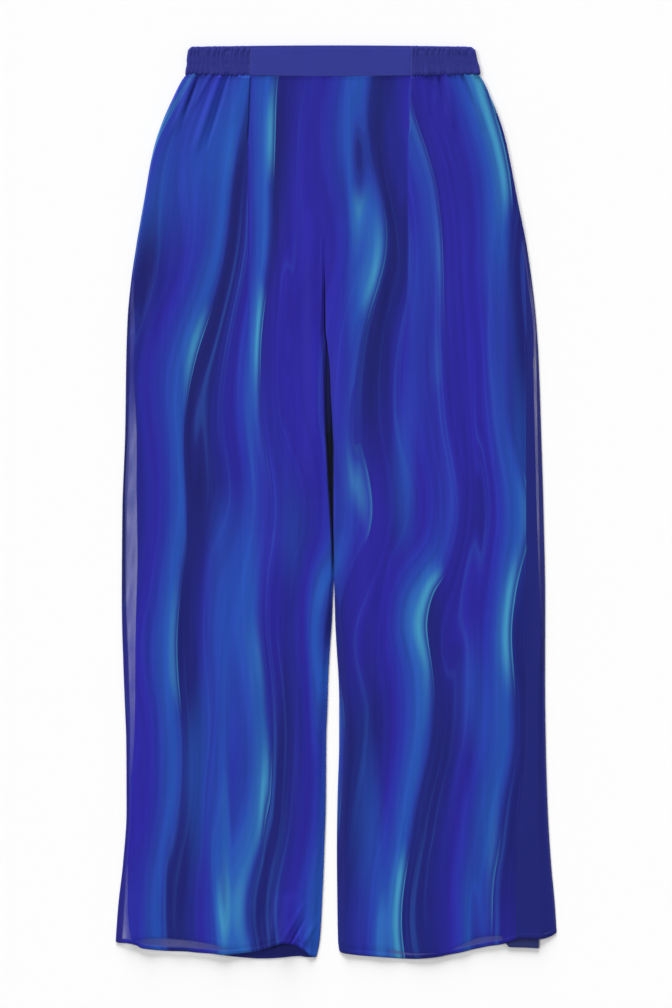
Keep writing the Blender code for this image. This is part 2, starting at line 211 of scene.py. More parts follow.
# How far down each layer reaches
hems = {
    "columns": ("across", "back", "lining", "front"),
    "right": [
        (0, 1036, 1026, 1036), (14, 1037, 1027, 1036.5), (16, 1044.5, 1028, 1044),
        (18, 1047.3, 1028, 1047.3), (20.6, 1048.6, 1028, 1048.6), (24.2, 1048.6, 1028, 1047.2),
        (31.2, 1048.2, 1028, 1041.2), (36.5, 1047.2, 1028, 1037.5), (45, 1047.6, 1028, 1033.8),
        (56, 1048.8, 1028, 1032.2), (66.5, 1049.6, 1029, 1035.4), (76, 1050, 1031, 1039),
        (85, 1050, 1033, 1041.4), (97, 1049.2, 1035, 1043), (112, 1047.9, 1036, 1044.6),
        (125, 1046.2, 1034.8, 1045.6), (137, 1043.4, 1032, 1044.2), (155, 1042.2, 1029, 1042.9),
        (172, 1040.6, 1027, 1041.3), (190, 1040.2, 1025.7, 1040.9), (208, 1038.6, 1025, 1039.3),
        (219, 1037.2, 1026, 1037.9), (226, 1033.6, 1027, 1034.2), (238, 1031.6, 1027, 1032),
        (245, 1031.6, 1027, 1032), (248, 1030.6, 1026, 1031), (251, 1027, 1024, 1027.4),
    ],
    "left": [
        (0, 1036, 1030, 1036.4), (8, 1040, 1032, 1040.6), (11, 1042.6, 1033, 1043.2),
        (20, 1044, 1034, 1044.8), (33.6, 1045.6, 1035, 1046.4), (55, 1047, 1036, 1048),
        (71, 1048.2, 1038.4, 1049.2), (83, 1049.2, 1041.4, 1049.9), (95, 1049.6, 1042.6, 1050.2),
        (108, 1048.8, 1042.8, 1049.4), (121, 1047.2, 1042.2, 1048), (132, 1044.9, 1040.6, 1045.6),
        (145, 1042.6, 1034, 1043.3), (157, 1039.6, 1029, 1040.3), (167, 1037.4, 1025, 1038.1),
        (180, 1034.7, 1022.8, 1035.4), (194, 1032.8, 1022, 1033.5), (200, 1031.2, 1033, 1032),
        (204, 1029.8, 1036.8, 1030.6), (212, 1027.2, 1037, 1028.2), (222, 1026.8, 1037.3, 1027.4),
        (237.8, 1027.4, 1038, 1027.7), (244, 1026.6, 1019, 1026.9), (251, 1024.4, 1017.5, 1024.7),
        (257, 1020.6, 1014, 1020.8), (260, 1017.4, 1011, 1017.6),
    ],
}

# Height of each layer of cloth above the floor. edge is a front's at its outer and inner edges,
# and that of the left back where it lies on top.
levels = {"back": 0.28, "edge": 1.95, "liningBack": 1.95, "liningFront": 3.35, "front": 4.75}

band = {
    "depth": 35, "half": 164.6, "panelEnd": {"right": 94.8, "left": 91.9},
    "topDrop": 1.7, "sideRise": 2.6,
    "sewnAt": 0.3, "tuck": 1.4,  # the trousers' top line, and how far they reach up behind it
}
legLength = garment["length"] - band["depth"]


def readTable(table, column, at, rows="rows"):
    # a smooth curve through a column, with no swing past its values
    rows = np.array(table[rows], float)
    xs, ys = rows[:, 0], rows[:, table["columns"].index(column)]
    slopes = np.diff(ys) / np.diff(xs)
    tangents = np.concatenate([slopes[:1], np.zeros(len(xs) - 2), slopes[-1:]])
    product = slopes[:-1] * slopes[1:]
    total = np.where(product > 0, slopes[:-1] + slopes[1:], 1.0)
    tangents[1:-1] = np.where(product > 0, 2 * product / total, 0.0)
    at = np.clip(at, xs[0], xs[-1])
    i = np.clip(np.searchsorted(xs, at, side="right") - 1, 0, len(xs) - 2)
    span = xs[i + 1] - xs[i]
    t = (at - xs[i]) / span
    start = (1 + 2 * t) * (1 - t) ** 2 * ys[i] + t * (1 - t) ** 2 * span * tangents[i]
    end = t * t * (3 - 2 * t) * ys[i + 1] + t * t * (t - 1) * span * tangents[i + 1]
    return start + end


def ease(t):
    t = np.clip(t, 0.0, 1.0)
    return t * t * (3.0 - 2.0 * t)


def rising(value, start, over):
    return ease((value - start) / over)


def softNoise(x, y, seed):
    # smooth bumps of size 1 in x and y, between -1 and 1
    cells = 64
    lattice = np.random.default_rng(seed).uniform(-1, 1, (cells, cells))
    x, y = np.broadcast_arrays(np.asarray(x, float), np.asarray(y, float))
    i, j = np.floor(x).astype(int), np.floor(y).astype(int)
    s, t = ease(x - i), ease(y - j)

    def row(j):
        return lattice[i % cells, j % cells] * (1 - s) + lattice[(i + 1) % cells, j % cells] * s

    return row(j) * (1 - t) + row(j + 1) * t


def edgeAt(side, down):
    return readTable(outline, side, down)


def innerAt(side, down):
    return readTable(inseam, side, down)


def seamInset(side, down):
    return readTable(sides, "seam", down, side)


def liningInset(side, down):
    return readTable(sides, "lining", down, side)


def hemAt(side, layer, across):
    return readTable(hems, layer, across, side)


def bandTop(across):
    return band["topDrop"] * (across / band["half"]) ** 2


def bandBottom(across):
    return band["depth"] - band["sideRise"] * (across / band["half"]) ** 2


def bandDown(across, depth, drop):
    # where a depth in the waistband lies, with its lower edge a little further down
    top, bottom = bandTop(across), bandBottom(across) + drop
    return top + (bottom - top) * depth / band["depth"]


# The waistband's wall as it lies, which folds round at both sides
waist = {"wall": 2.2, "frontZ": 4.2, "backZ": 1.35, "foldAcross": 162.4, "seed": 7}

# The gathers that the elastic makes: coarse ones, with finer ones between. They are counted along
# the gathered band, from the front panel's right end round the back to its left end.
gathers = {
    "coarse": (2.8, 7.8), "fine": (1.5, 3),  # least and greatest widths
    "heights": (0.15, 1), "roundness": 0.7, "seed": 7,
    "lean": 2.2, "leanSize": (19, 17),
}

# How they run on in the cloth below it
hanging = {
    "height": 0.95, "sunk": 0.3, "reach": 11, "usual": 1.1, "uneven": 0.8, "unevenSize": 9,
    "fadeIn": 14,
}


def bandLength():
    arc = math.pi * 0.5 * (waist["frontZ"] - waist["backZ"])
    return 4 * waist["foldAcross"] - band["panelEnd"]["right"] - band["panelEnd"]["left"] + 2 * arc


def gatherRelief(walk, depth, sizes, seed):
    # soft ridges with sharp creases between them, no two as wide or as high. They lean and change
    # a little from the top of the waistband to its lower edge
    random = np.random.default_rng(seed)
    count = int(bandLength() / sizes[0]) + 2
    widths = random.uniform(*sizes, count)
    places = np.concatenate([[0.0], np.cumsum(widths)])
    upper, lower = random.uniform(*gathers["heights"], (2, count))
    walk, depth = np.broadcast_arrays(np.asarray(walk, float), np.asarray(depth, float))
    leaning = softNoise(walk / gathers["leanSize"][0], depth / gathers["leanSize"][1], seed + 3)
    moved = np.maximum(walk + gathers["lean"] * leaning, 0.0)
    index = np.clip(np.searchsorted(places, moved, side="right") - 1, 0, count - 1)
    share = np.clip((moved - places[index]) / widths[index], 0, 1)
    down = np.clip(depth / band["depth"], 0, 1)
    return (upper[index] * (1 - down) + lower[index] * down) * np.sin(math.pi * share) ** gathers["roundness"]


def gatherHang(side, across, down):
    # each gather runs on below the elastic, spreads out with the cloth and fades
    start = band["panelEnd"][side]
    share = (across - start) / (edgeAt(side, down) - start)
    walk = (waist["foldAcross"] - start) * share
    if side == "left":
        walk = bandLength() - walk
    uneven = hanging["uneven"] * softNoise(walk / hanging["unevenSize"], 0.5, gathers["seed"] + 9)
    reach = hanging["reach"] * (hanging["usual"] + uneven)
    fade = np.exp(-np.maximum(down - bandBottom(across), 0.0) / reach) * ease(share * hanging["fadeIn"])
    relief = gatherRelief(walk, band["depth"], gathers["coarse"], gathers["seed"])
    return hanging["height"] * (relief - hanging["sunk"]) * fade


# Folds of the fronts: soft ridges, and troughs where the height is negative. Each row is where it
# starts, across and down, where it ends, its height and half its width.
folds = {
    "right": [
        # under the elastic
        (115, 20, 146, 122, -1.5, 3.6), (124, 20, 158, 124, 1.6, 7), (148, 20, 172, 88, -1.6, 3.4),
        (156, 24, 182, 104, 1.5, 6.5), (106, 24, 114, 92, 1, 6), (136, 26, 160, 74, 0.8, 4.5),
        # the lip beside the centre seam, and the fullness next to it
        (11.6, 215, 12, 352, 1, 2.6), (24, 190, 20, 520, 2.6, 14),
        # the leg's long drapes
        (150, 330, 118, 640, 1.4, 24), (70, 560, 92, 840, 1.5, 22), (198, 150, 212, 420, 0.9, 11),
        (60, 120, 46, 330, 0.8, 11), (174, 580, 192, 860, 1, 14), (40, 640, 34, 900, 0.9, 12),
        # the hem, lifted in one place, with creases up and inwards from it
        (52, 975, 55, 1120, 4.8, 19), (60, 1036, 30, 984, 0.9, 4.6), (52, 1040, 30, 1002, -1.9, 2),
        (40, 1046, 13, 1000, 0.9, 4.5), (84, 1110, 60, 965, 1.5, 7.5), (98, 1112, 80, 985, -1, 5),
        (128, 930, 120, 1130, 1, 19), (160, 985, 164, 1110, -0.6, 9), (205, 940, 214, 1130, 0.9, 16),
    ],
    "left": [
        # under the elastic
        (121, 22, 131, 78, -1.2, 3.4), (130, 22, 142, 96, 1.3, 6.5), (146, 22, 163, 76, -1.2, 3.2),
        (154, 24, 176, 98, 1.4, 6.5), (106, 26, 111, 84, 0.9, 5.5), (114, 28, 118, 62, -0.7, 2.8),
        # the fullness beside the centre seam
        (4, 200, 12, 560, 1.6, 15),
        # the leg's long drapes
        (95, 380, 128, 700, 1.5, 24), (170, 600, 150, 900, 1.3, 22), (60, 150, 52, 380, 0.9, 12),
        (200, 170, 212, 430, 0.9, 11), (40, 540, 56, 800, 1, 13), (205, 640, 192, 900, 0.8, 12),
        # the hem
        (55, 930, 62, 1130, 0.9, 18), (118, 900, 104, 1130, 1.1, 22), (84, 990, 80, 1110, -0.9, 8),
        (150, 970, 156, 1110, 0.8, 11), (192, 930, 186, 1130, 0.9, 15),
    ],
}


foldEnds = 0.8  # the power of a sine with which a fold begins and ends


def ridgeSum(ridges, across, down):
    total = np.zeros(np.broadcast(across, down).shape)
    for fromAcross, fromDown, toAcross, toDown, height, halfWidth in ridges:
        run = (toAcross - fromAcross, toDown - fromDown)
        size = math.hypot(*run)
        along = ((across - fromAcross) * run[0] + (down - fromDown) * run[1]) / size**2
        aside = np.abs((across - fromAcross) * run[1] - (down - fromDown) * run[0]) / size
        rise = np.sin(math.pi * np.clip(along, 0, 1)) ** foldEnds
        total += height * rise * np.cos(0.5 * math.pi * np.clip(aside / halfWidth, 0, 1)) ** 2
    return total


# How a front comes down at its outer edge, where it has no lining under it, and the small
# unevenness of cloth that lies loose, more of it near the hem
draping = {
    "overLining": 1, "least": 0.6, "flat": 3, "flatShare": 0.3,
    "seed": {"right": 11, "left": 23},
    "slack": [  # height, size across, size down, shift across, only near the hem
        (0.35, 21, 130, 0, False), (0.16, 8, 46, 3.1, False), (0.30, 15, 30, 0, True),
    ],
    "nearHem": (930, 90),  # from there, over so much
}


def frontRaised(side, across, down):
    # 1 where a front lies on the lining, 0 at its edges, where it comes down to the back
    reach = np.maximum(liningInset(side, down) - draping["overLining"], draping["least"])
    flat = np.minimum(draping["flat"], draping["flatShare"] * reach)
    outer = ease((edgeAt(side, down) - across - flat) / (reach - flat))
    fall, slope = readTable(inseam, side + "Fall", down), readTable(inseam, side + "Slope", down)
    inner = 1.0 - fall * (1.0 - ease((across - innerAt(side, down)) / slope))
    return np.minimum(outer, inner)


def frontLevel(side, across, down):
    raised = frontRaised(side, across, down)
    nearHem = rising(down, *draping["nearHem"])
    slack = 0.0
    for step, (height, wide, long, shift, atHem) in enumerate(draping["slack"]):
        wave = height * softNoise(across / wide + shift, down / long, draping["seed"][side] + step)
        slack = slack + (wave * nearHem if atHem else wave)
    height = ridgeSum(folds[side], across, down) + gatherHang(side, across, down) + slack
    return levels["edge"] + (levels["front"] - levels["edge"]) * raised + height * raised


# The layers settle closer together towards the hems, more so in the left leg
settling = {"nearHem": (880, 160), "right": 0.08, "left": 0.3}


def place(side, across, down, z):
    sign = 1.0 if side == "left" else -1.0
    z = z * (1.0 - settling[side] * rising(down, *settling["nearHem"]))
    return np.stack([garment["centreX"] + sign * across, garment["topY"] - down, z], axis=-1)


# Where each piece starts on the flat cut, so that no two have the same stretch of cloth
cutStart = {
    "fronts": 620, "rightBack": 1900, "leftBack": 2300, "linings": 2900,
    "waistPanel": 3400, "waistGathered": 3800,
}


def cutAt(piece, walk, down):
    return np.stack(np.broadcast_arrays(walk + cutStart[piece], down), axis=-1)


def rowShares(spacing, fine, zone):
    # rows are closer together near the waistband and the hem
    steps = [0.0]
    while steps[-1] < legLength:
        near = min(steps[-1], legLength - steps[-1])
        steps.append(steps[-1] + fine + (spacing - fine) * float(ease(near / zone)))
    return np.array(steps) / steps[-1]


def layColumns(zones, down):
    # a zone is its number of columns and where its first and last lie at every level, or a function
    # that lays them itself
    parts, start = [], 0
    for count, first, *last in zones:
        own = slice(start, start + count) if down.shape[1] > 1 else slice(None)
        start += count
        if last:
            low, high = first[:, own], last[0][:, own]
            parts.append(low + (high - low) * np.linspace(0, 1, count))
        else:
            parts.append(first(down[:, own]))
    return np.concatenate(parts, axis=1)


def layRows(side, layer, rows, layAt):
    # rows from inside the waistband to the hem. layAt gives how far across the columns are at each
    # level, and their ends give the levels again, so a few rounds settle the two
    share = rowShares(*rows)[:, None]
    down = band["depth"] + share * legLength
    for _ in range(4):
        laid = layAt(down)
        top = bandBottom(laid["across"]) + band["sewnAt"] - band["tuck"]
        down = top + share * (hemAt(side, layer, laid["across"]) - top)
    return laid, down


def layFlat(side, layer, rows, zonesAt):
    def layAt(level):
        return {"across": layColumns(zonesAt(level), level)}

    down = layRows(side, layer, rows, layAt)[1]
    return layAt(down)["across"], down


def columnGap(side, level):
    # half of the gap between the columns on the two sides of a change
    most, share = sides["gap"]
    return np.minimum(most, share * (liningInset(side, level) - seamInset(side, level)))


def sideZones(side, start, counts, level):
    # up to where the lining begins, over the unlined strip and, with a third count, the seam
    edge, gap = edgeAt(side, level), columnGap(side, level)
    rim, seam = edge - liningInset(side, level), edge - seamInset(side, level)
    ends = [(start, rim - gap), (rim + gap, seam - gap), (seam + gap, edge)]
    return [(count, *pair) for count, pair in zip(counts, ends)]


# A turned edge in section, from the edge: along the sheet inwards and down, where width and drop
# are the allowance's own, with the cloth walked so far
turning = {
    "bend": [(-0.28, 0.22, 0.4), (-0.30, 0.55, 0.8), (-0.1, 0.9, 1.3)],
    "lying": [(0.4, 1, 0.5), (1, 0.96, 1)],  # in and walked in widths
}


def turnUnder(grid, edge, width, drop):
    # folds an edge's seam or hem allowance under the sheet; edge is hem, or first or last column
    axis, backwards = {"hem": (0, False), "last": (1, False), "first": (1, True)}[edge]
    threeIn = -4  # the line three in from the edge, which gives the direction
    bent = turning["bend"][-1][2]
    profile = turning["bend"] + [(i * width, d, bent + t * width) for i, d, t in turning["lying"]]
    grown = {}
    for key, values in grid.items():
        values = np.swapaxes(values, 0, axis)
        values = values[::-1] if backwards else values
        if key == "at":
            inward = values[threeIn] - values[-1]
            inward /= np.linalg.norm(inward, axis=-1, keepdims=True) + 1e-9
            below = np.array([0.0, 0.0, -1.0])
            extra = [values[-1] + inward * i + below * d * drop for i, d, _ in profile]
        elif key == "cut":
            along = values[-1] - values[threeIn]
            along /= np.linalg.norm(along, axis=-1, keepdims=True) + 1e-9
            extra = [values[-1] + along * t for _, _, t in profile]
        else:
            last = np.maximum(values[-1], hiding["seam"]) if key == "closeness" else values[-1]
            extra = [last] * len(profile)
        values = np.concatenate([values, np.array(extra)])
        grown[key] = np.swapaxes(values[::-1] if backwards else values, 0, axis)
    return grown


# Where the legs lie against each other the cloth goes down between them, four layers deep and out
# of the light. That dark is painted shade in the cloth's colour: share is how much of it there is.
creases = {
    "frontReach": 1.7,  # in widths of the edge's slope
    "columns": ("down", "share"),
    "rows": [(255, 0), (290, 0.9), (318, 0.9), (345, 0.4), (375, 0.6), (425, 0.74), (458, 0.96),
             (585, 0.96), (612, 0)],
}


def creaseShade(side, across, down, layer):
    reach = (creases["frontReach"] if layer == "front" else 1.0) * readTable(inseam, side + "Slope", down)
    within = ease((innerAt(side, down) + reach - across) / reach)
    if layer == "front":
        within = within * readTable(inseam, side + "Fall", down)
    return readTable(creases, "share", down) * within


def addSheet(name, side, grid, material):
    # a mesh from a grid of points, with its place on the flat cut as UV and the rest as attributes
    rows, columns = grid["at"].shape[:2]
    index = np.arange(rows * columns).reshape(rows, columns)
    faces = np.stack([index[:-1, :-1], index[1:, :-1], index[1:, 1:], index[:-1, 1:]], axis=-1)
    faces = faces.reshape(-1, 4)
    if side == "right":
        faces = faces[:, ::-1]
    mesh = bpy.data.meshes.new(name)
    mesh.vertices.add(rows * columns)
    mesh.vertices.foreach_set("co", (grid["at"] * mm).astype(np.float32).ravel())
    mesh.loops.add(faces.size)
    mesh.loops.foreach_set("vertex_index", faces.ravel().astype(np.int32))
    mesh.polygons.add(len(faces))
    mesh.polygons.foreach_set("loop_start", np.arange(0, faces.size, 4, dtype=np.int32))
    mesh.update(calc_edges=True)
    mesh.validate()
    layer = mesh.uv_layers.new(name="cut")
    corners = np.empty(len(mesh.loops), np.int32)
    mesh.loops.foreach_get("vertex_index", corners)
    layer.data.foreach_set("uv", (grid["cut"].reshape(-1, 2)[corners] * mm).astype(np.float32).ravel())
    for key in [key for key in grid if key not in ("at", "cut")]:
        attribute = mesh.attributes.new(key, "FLOAT", "POINT")
        attribute.data.foreach_set("value", grid[key].astype(np.float32).ravel())
    mesh.shade_smooth()
    mesh.materials.append(material)
    return link(bpy.data.objects.new(name, mesh))


def finishPiece(piece, node, slotName, **sheetFacts):
    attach(piece, "root")
    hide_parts(node)
    area = sum(face.area for face in piece.data.polygons)
    print(f"{piece.name}: {len(piece.data.polygons)} faces, {area:.3f} m2")


# What the cloths look like. Chiffon: fine twisted yarns in an open plain weave, so it shows what
# lies behind it and has a soft, dry surface. Its real threads stand about 0.25 mm apart, which
# is too fine to show, so the yarn streaks are drawn 4 to 6 times as wide. Alone, with the pale
# surface behind it, it lets light through and looks lighter and milkier; that light is painted into
# its colour: litColour, litShare.
# yarn is the streaks' width, yarnRelief and yarnContrast how strong they are, mottle the size of
# the dye's unevenness.
cloths = {
    "printedChiffon": {
        "roughness": 0.58, "sheen": 0.05, "yarn": 1.3, "yarnRelief": 0.10, "yarnContrast": 0.03,
        "litColour": "#7a7fd8", "litShare": 0.62, "shaded": "#020817",
    },
    "plainChiffon": {
        "colour": "#1f2575", "dark": "#1b2070", "mottle": (40, 160), "roughness": 0.58, "sheen": 0.05,
        "yarn": 1.3, "yarnRelief": 0.10, "yarnContrast": 0.06,
        "litColour": "#7a7cd0", "litShare": 0.62, "shaded": "#010511",
    },
    "crepe": {
        "mottle": (26, 18), "roughness": 0.7, "sheen": 0.06,
        "yarn": 1.5, "yarnRelief": 0, "yarnContrast": 0.05,
        # pressed: the colour of a painted highlight on pressed edges, and how much of it shows
        "grain": (1.1, 1.65), "grainRelief": 0.22, "pressed": "#4a50a6", "pressedHighlightShare": 0.55,
    },
    "lining": {
        "colour": "#2d3467", "dark": "#292f62", "mottle": (30, 90), "roughness": 0.42,
        "yarn": 1.6, "yarnRelief": 0.06, "yarnContrast": 0.03,
    },
}

# How many times as long as wide the yarn streaks are, and how much the weft counts beside the warp
streaks = {"warp": 60, "weft": 30, "weftShare": 0.45}

# How much of what lies behind the chiffon it hides: over the lining, where it is alone, and where
# a seam or a rolled hem makes it double
hiding = {"overLining": 0.95, "alone": 0.36, "seam": 0.85, "sideSeam": 0.8}


def startMaterial(name):
    material = bpy.data.materials.new(name)
    material.use_nodes = True
    tree = material.node_tree
    return material, tree, tree.nodes["Principled BSDF"]


def cutPlace(tree, sizes):
    # the place on the flat cut, with each axis in steps of the given sizes in millimetres
    cut = addNode(tree, "UVMap", {"uv_map": "cut"}).outputs["UV"]
    steps = tuple(1000.0 / size for size in sizes) + (1.0,)
    return addNode(tree, "VectorMath", {"operation": "MULTIPLY", 1: steps}, {0: cut}).outputs[0]


def paintOver(tree, painted, layers):
    # each layer is a colour and how much of it shows, or no colour and how much lighter it gets
    for shade, amount in layers:
        if shade:
            painted = addNode(tree, "Mix", {"data_type": "RGBA", 7: colour(shade)},
                              {0: amount, 6: painted}).outputs[2]
        else:
            painted = addNode(tree, "VectorMath", {"operation": "SCALE"},
                              {0: painted, "Scale": amount}).outputs[0]
    return painted


def mottled(tree, first, second, size):
    share = addNode(tree, "TexNoise", {"Scale": 1.0, "Detail": 3.0},
                    {"Vector": cutPlace(tree, size)}).outputs["Fac"]
    return addNode(tree, "Mix", {"data_type": "RGBA", 6: colour(first), 7: colour(second)},
                   {0: share}).outputs[2]


def addYarn(tree, shader, painted, finish):
    # warp and weft yarns of uneven thickness: long thin streaks both ways, in colour and relief
    spacing, contrast = finish["yarn"], finish["yarnContrast"]
    warp = addNode(tree, "TexNoise", {"Scale": 1.0, "Detail": 2.0, "Roughness": 0.6},
                   {"Vector": cutPlace(tree, (spacing, streaks["warp"] * spacing))}).outputs["Fac"]
    weft = addNode(tree, "TexNoise", {"Scale": 1.0, "Detail": 1.0},
                   {"Vector": cutPlace(tree, (streaks["weft"] * spacing, spacing))}).outputs["Fac"]
    yarns = addNode(tree, "Math", {"operation": "MULTIPLY_ADD", 1: streaks["weftShare"]},
                    {0: weft, 2: warp}).outputs[0]
    bump = addNode(tree, "Bump", {"Strength": finish["yarnRelief"], "Distance": 0.0004},
                   {"Height": yarns})
    tree.links.new(bump.outputs["Normal"], shader.inputs["Normal"])
    shade = addNode(tree, "MapRange",
                    {"From Min": 0.35, "From Max": 1.1, "To Min": 1.0 - contrast, "To Max": 1.0 + contrast},
                    {"Value": yarns}).outputs[0]
    return paintOver(tree, painted, [(None, shade)])


def finishCloth(tree, shader, painted, finish):
    shader.inputs["Roughness"].default_value = finish["roughness"]
    shader.inputs["IOR"].default_value = 1.45
    shader.inputs["Specular IOR Level"].default_value = 0.13
    if "sheen" in finish:
        shader.inputs["Sheen Weight"].default_value = finish["sheen"]
        shader.inputs["Sheen Roughness"].default_value = 0.5
    if "litColour" in finish:
        closeness = addNode(tree, "Attribute", {"attribute_name": "closeness"}).outputs["Fac"]
        tree.links.new(closeness, shader.inputs["Alpha"])
        # painted light: where the chiffon lies alone its colour is mixed towards litColour
        share = addNode(tree, "MapRange",
                        {"From Min": hiding["seam"], "From Max": hiding["alone"],
                         "To Min": 0.0, "To Max": finish["litShare"]}, {"Value": closeness}).outputs[0]
        # painted shade: the shaded attribute mixes in near-black, in the crease between the legs and along
        # the darker double edges
        shaded = addNode(tree, "Attribute", {"attribute_name": "shaded"}).outputs["Fac"]
        painted = paintOver(tree, painted, [(finish["litColour"], share), (finish["shaded"], shaded)])
    tree.links.new(painted, shader.inputs["Base Color"])


# The print: streaks that run down the leg and wander sideways, each with one crisp edge and a
# slow fall from bright to dark, under broad veils of azure and violet, with fine lines drawn out
# along them. Here and there a streak closes on itself in a knot. Sizes are in millimetres.
printDesign = {
    "streakWidth": 96, "tilt": 0.05, "bend": 66, "waver": 24, "drift": 0.95, "seedDown": 0.37,
    "fields": {  # size across, size down, detail, seed
        "bend": (430, 235, 0, 30.5), "waver": (150, 150, 0, 123.6),
        "drift": (120, 900, 1, 34.8), "knot": (36, 240, 0, 142.8),
        "azure": (86, 460, 1, 122), "violet": (96, 540, 1, 77.5),
        "gleam": (90, 250, 1, 123.9), "hair": (4.5, 260, 3, 113.7),
    },
    "knots": {"From Min": 0.58, "From Max": 0.84, "To Min": 0, "To Max": 0.19},
    "shares": {  # what a field gives: between two of its values, from one amount to another
        "azure": ("SMOOTHSTEP", 0.54, 0.74, 0, 0.7), "violet": ("SMOOTHSTEP", 0.50, 0.70, 0, 0.85),
        "lineShade": ("SMOOTHSTEP", 0.28, 0.66, 0.86, 1.07), "line": ("SMOOTHSTEP", 0.56, 0.78, 0, 0.42),
        "gleam": ("SMOOTHSTEP", 0.49, 0.66, 0, 0.95), "hair": ("LINEAR", 0.3, 0.7, 0.94, 1.06),
    },
    "ramp": [
        (0.00, "#1a2177"), (0.10, "#181d6d"), (0.24, "#1a1f75"), (0.38, "#22248f"), (0.50, "#28239c"),
        (0.62, "#2532a4"), (0.76, "#2348a9"), (0.87, "#2150b0"), (0.94, "#223a9c"), (1.00, "#1a2177"),
    ],
    "edge": [  # how much of the bright line shows along the same ramp, with a hairline at its end
        (0, 0), (0.74, 0), (0.85, 0.3), (0.905, 1), (0.93, 0.9), (0.975, 0.1), (1, 1),
    ],
    "azure": "#2152b3", "violet": "#29229e", "teal": "#3f93bd", "line": "#2b5fb4",
    "linesPerStreak": 9, "lineLength": 620,
}


def makePrintedChiffon():
    design = printDesign
    material, tree, shader = startMaterial("printedChiffon")
    fields = {}
    for name, (wide, long, detail, seed) in design["fields"].items():
        at = addNode(tree, "VectorMath", {"operation": "ADD", 1: (seed, design["seedDown"] * seed, 0.0)},
                     {0: cutPlace(tree, (wide, long))}).outputs[0]
        fields[name] = addNode(tree, "TexNoise", {"Scale": 1.0, "Detail": detail},
                               {"Vector": at}).outputs["Fac"]

    # how far across the design each point is, in streak widths, after the sideways bends
    cut = addNode(tree, "SeparateXYZ", {}, {0: cutPlace(tree, (1.0, 1.0))}).outputs
    knots = addNode(tree, "MapRange", {"interpolation_type": "SMOOTHSTEP", **design["knots"]},
                    {"Value": fields["knot"]}).outputs[0]
    along = cut["X"]
    for value, factor, added in (
            (cut["Y"], design["tilt"], None), (fields["bend"], design["bend"], None),
            (fields["waver"], design["waver"], None), (None, 1.0 / design["streakWidth"], knots),
            (fields["drift"], design["drift"], None)):
        along = addNode(tree, "Math", {"operation": "MULTIPLY_ADD", 1: factor},
                        {0: value or along, 2: added or along}).outputs[0]
    phase = addNode(tree, "Math", {"operation": "FRACT"}, {0: along}).outputs[0]
    stops = [(position, colour(shade)) for position, shade in design["ramp"]]
    painted = addNode(tree, "ValToRGB", {"stops": stops}, {"Fac": phase}).outputs["Color"]

    # fine lines that follow the streaks, some darker and some lighter than what they cross
    lineAcross = addNode(tree, "Math", {"operation": "MULTIPLY", 1: design["linesPerStreak"]},
                         {0: along}).outputs[0]
    lineDown = addNode(tree, "Math", {"operation": "DIVIDE", 1: design["lineLength"]},
                       {0: cut["Y"]}).outputs[0]
    lineAt = addNode(tree, "CombineXYZ", {}, {"X": lineAcross, "Y": lineDown}).outputs[0]
    lines = addNode(tree, "TexNoise", {"Scale": 1.0, "Detail": 2.0, "Roughness": 0.55},
                    {"Vector": lineAt}).outputs["Fac"]
    fields.update(lineShade=lines, line=lines)
    shares = {}
    for name, (kind, low, high, first, last) in design["shares"].items():
        ends = {"From Min": low, "From Max": high, "To Min": first, "To Max": last}
        shares[name] = addNode(tree, "MapRange", {"interpolation_type": kind, **ends},
                               {"Value": fields[name]}).outputs[0]

    # the bright line along a streak's crisp edge, which comes and goes along its length
    stops = [(position, (share, share, share, 1.0)) for position, share in design["edge"]]
    edge = addNode(tree, "ValToRGB", {"stops": stops}, {"Fac": phase}).outputs["Color"]
    bright = addNode(tree, "Math", {"operation": "MULTIPLY"}, {0: edge, 1: shares["gleam"]}).outputs[0]

    # broad soft veils, the lines, the bright edges, and hairlines straight down the cloth
    painted = paintOver(tree, painted, [
        (design["azure"], shares["azure"]), (design["violet"], shares["violet"]),
        (None, shares["lineShade"]), (design["line"], shares["line"]),
        (design["teal"], bright), (None, shares["hair"]),
    ])
    painted = addYarn(tree, shader, painted, cloths["printedChiffon"])
    finishCloth(tree, shader, painted, cloths["printedChiffon"])
    return material


def makePlainCloth(name, finish):
    material, tree, shader = startMaterial(name)
    painted = mottled(tree, finish["colour"], finish["dark"], finish["mottle"])
    finishCloth(tree, shader, addYarn(tree, shader, painted, finish), finish)
    return material


def makeCrepe(name, first, second):
    # crepe: hard-twisted yarns that leave a fine pebbled grain and a matt face, and a smoother line
    # where an edge was pressed, which a painted highlight makes lighter
    finish = cloths["crepe"]
    material, tree, shader = startMaterial(name)
    painted = addYarn(tree, shader, mottled(tree, first, second, finish["mottle"]), finish)
    pebbles = addNode(tree, "TexVoronoi", {"Scale": 1.0},
                      {"Vector": cutPlace(tree, finish["grain"])}).outputs["Distance"]
    bump = addNode(tree, "Bump", {"Strength": finish["grainRelief"], "Distance": 0.0003},
                   {"Height": pebbles})
    tree.links.new(bump.outputs["Normal"], shader.inputs["Normal"])
    pressed = addNode(tree, "Attribute", {"attribute_name": "pressed"}).outputs["Fac"]
    share = addNode(tree, "Math", {"operation": "MULTIPLY", 1: finish["pressedHighlightShare"]},
                    {0: pressed}).outputs[0]
    finishCloth(tree, shader, paintOver(tree, painted, [(finish["pressed"], share)]), finish)
    return material


printedChiffon = makePrintedChiffon()
plainChiffon = makePlainCloth("plainChiffon", cloths["plainChiffon"])
# the lining is woven filament, closer and smoother than the chiffon, so it has a faint sheen
liningCloth = makePlainCloth("filamentLining", cloths["lining"])
plainCrepe = makeCrepe("crepeInterfaced", "#2f368d", "#2c3288")
gatheredCrepe = makeCrepe("crepeGathered", "#2a2e80", "#262a78")
print("cloths ready")


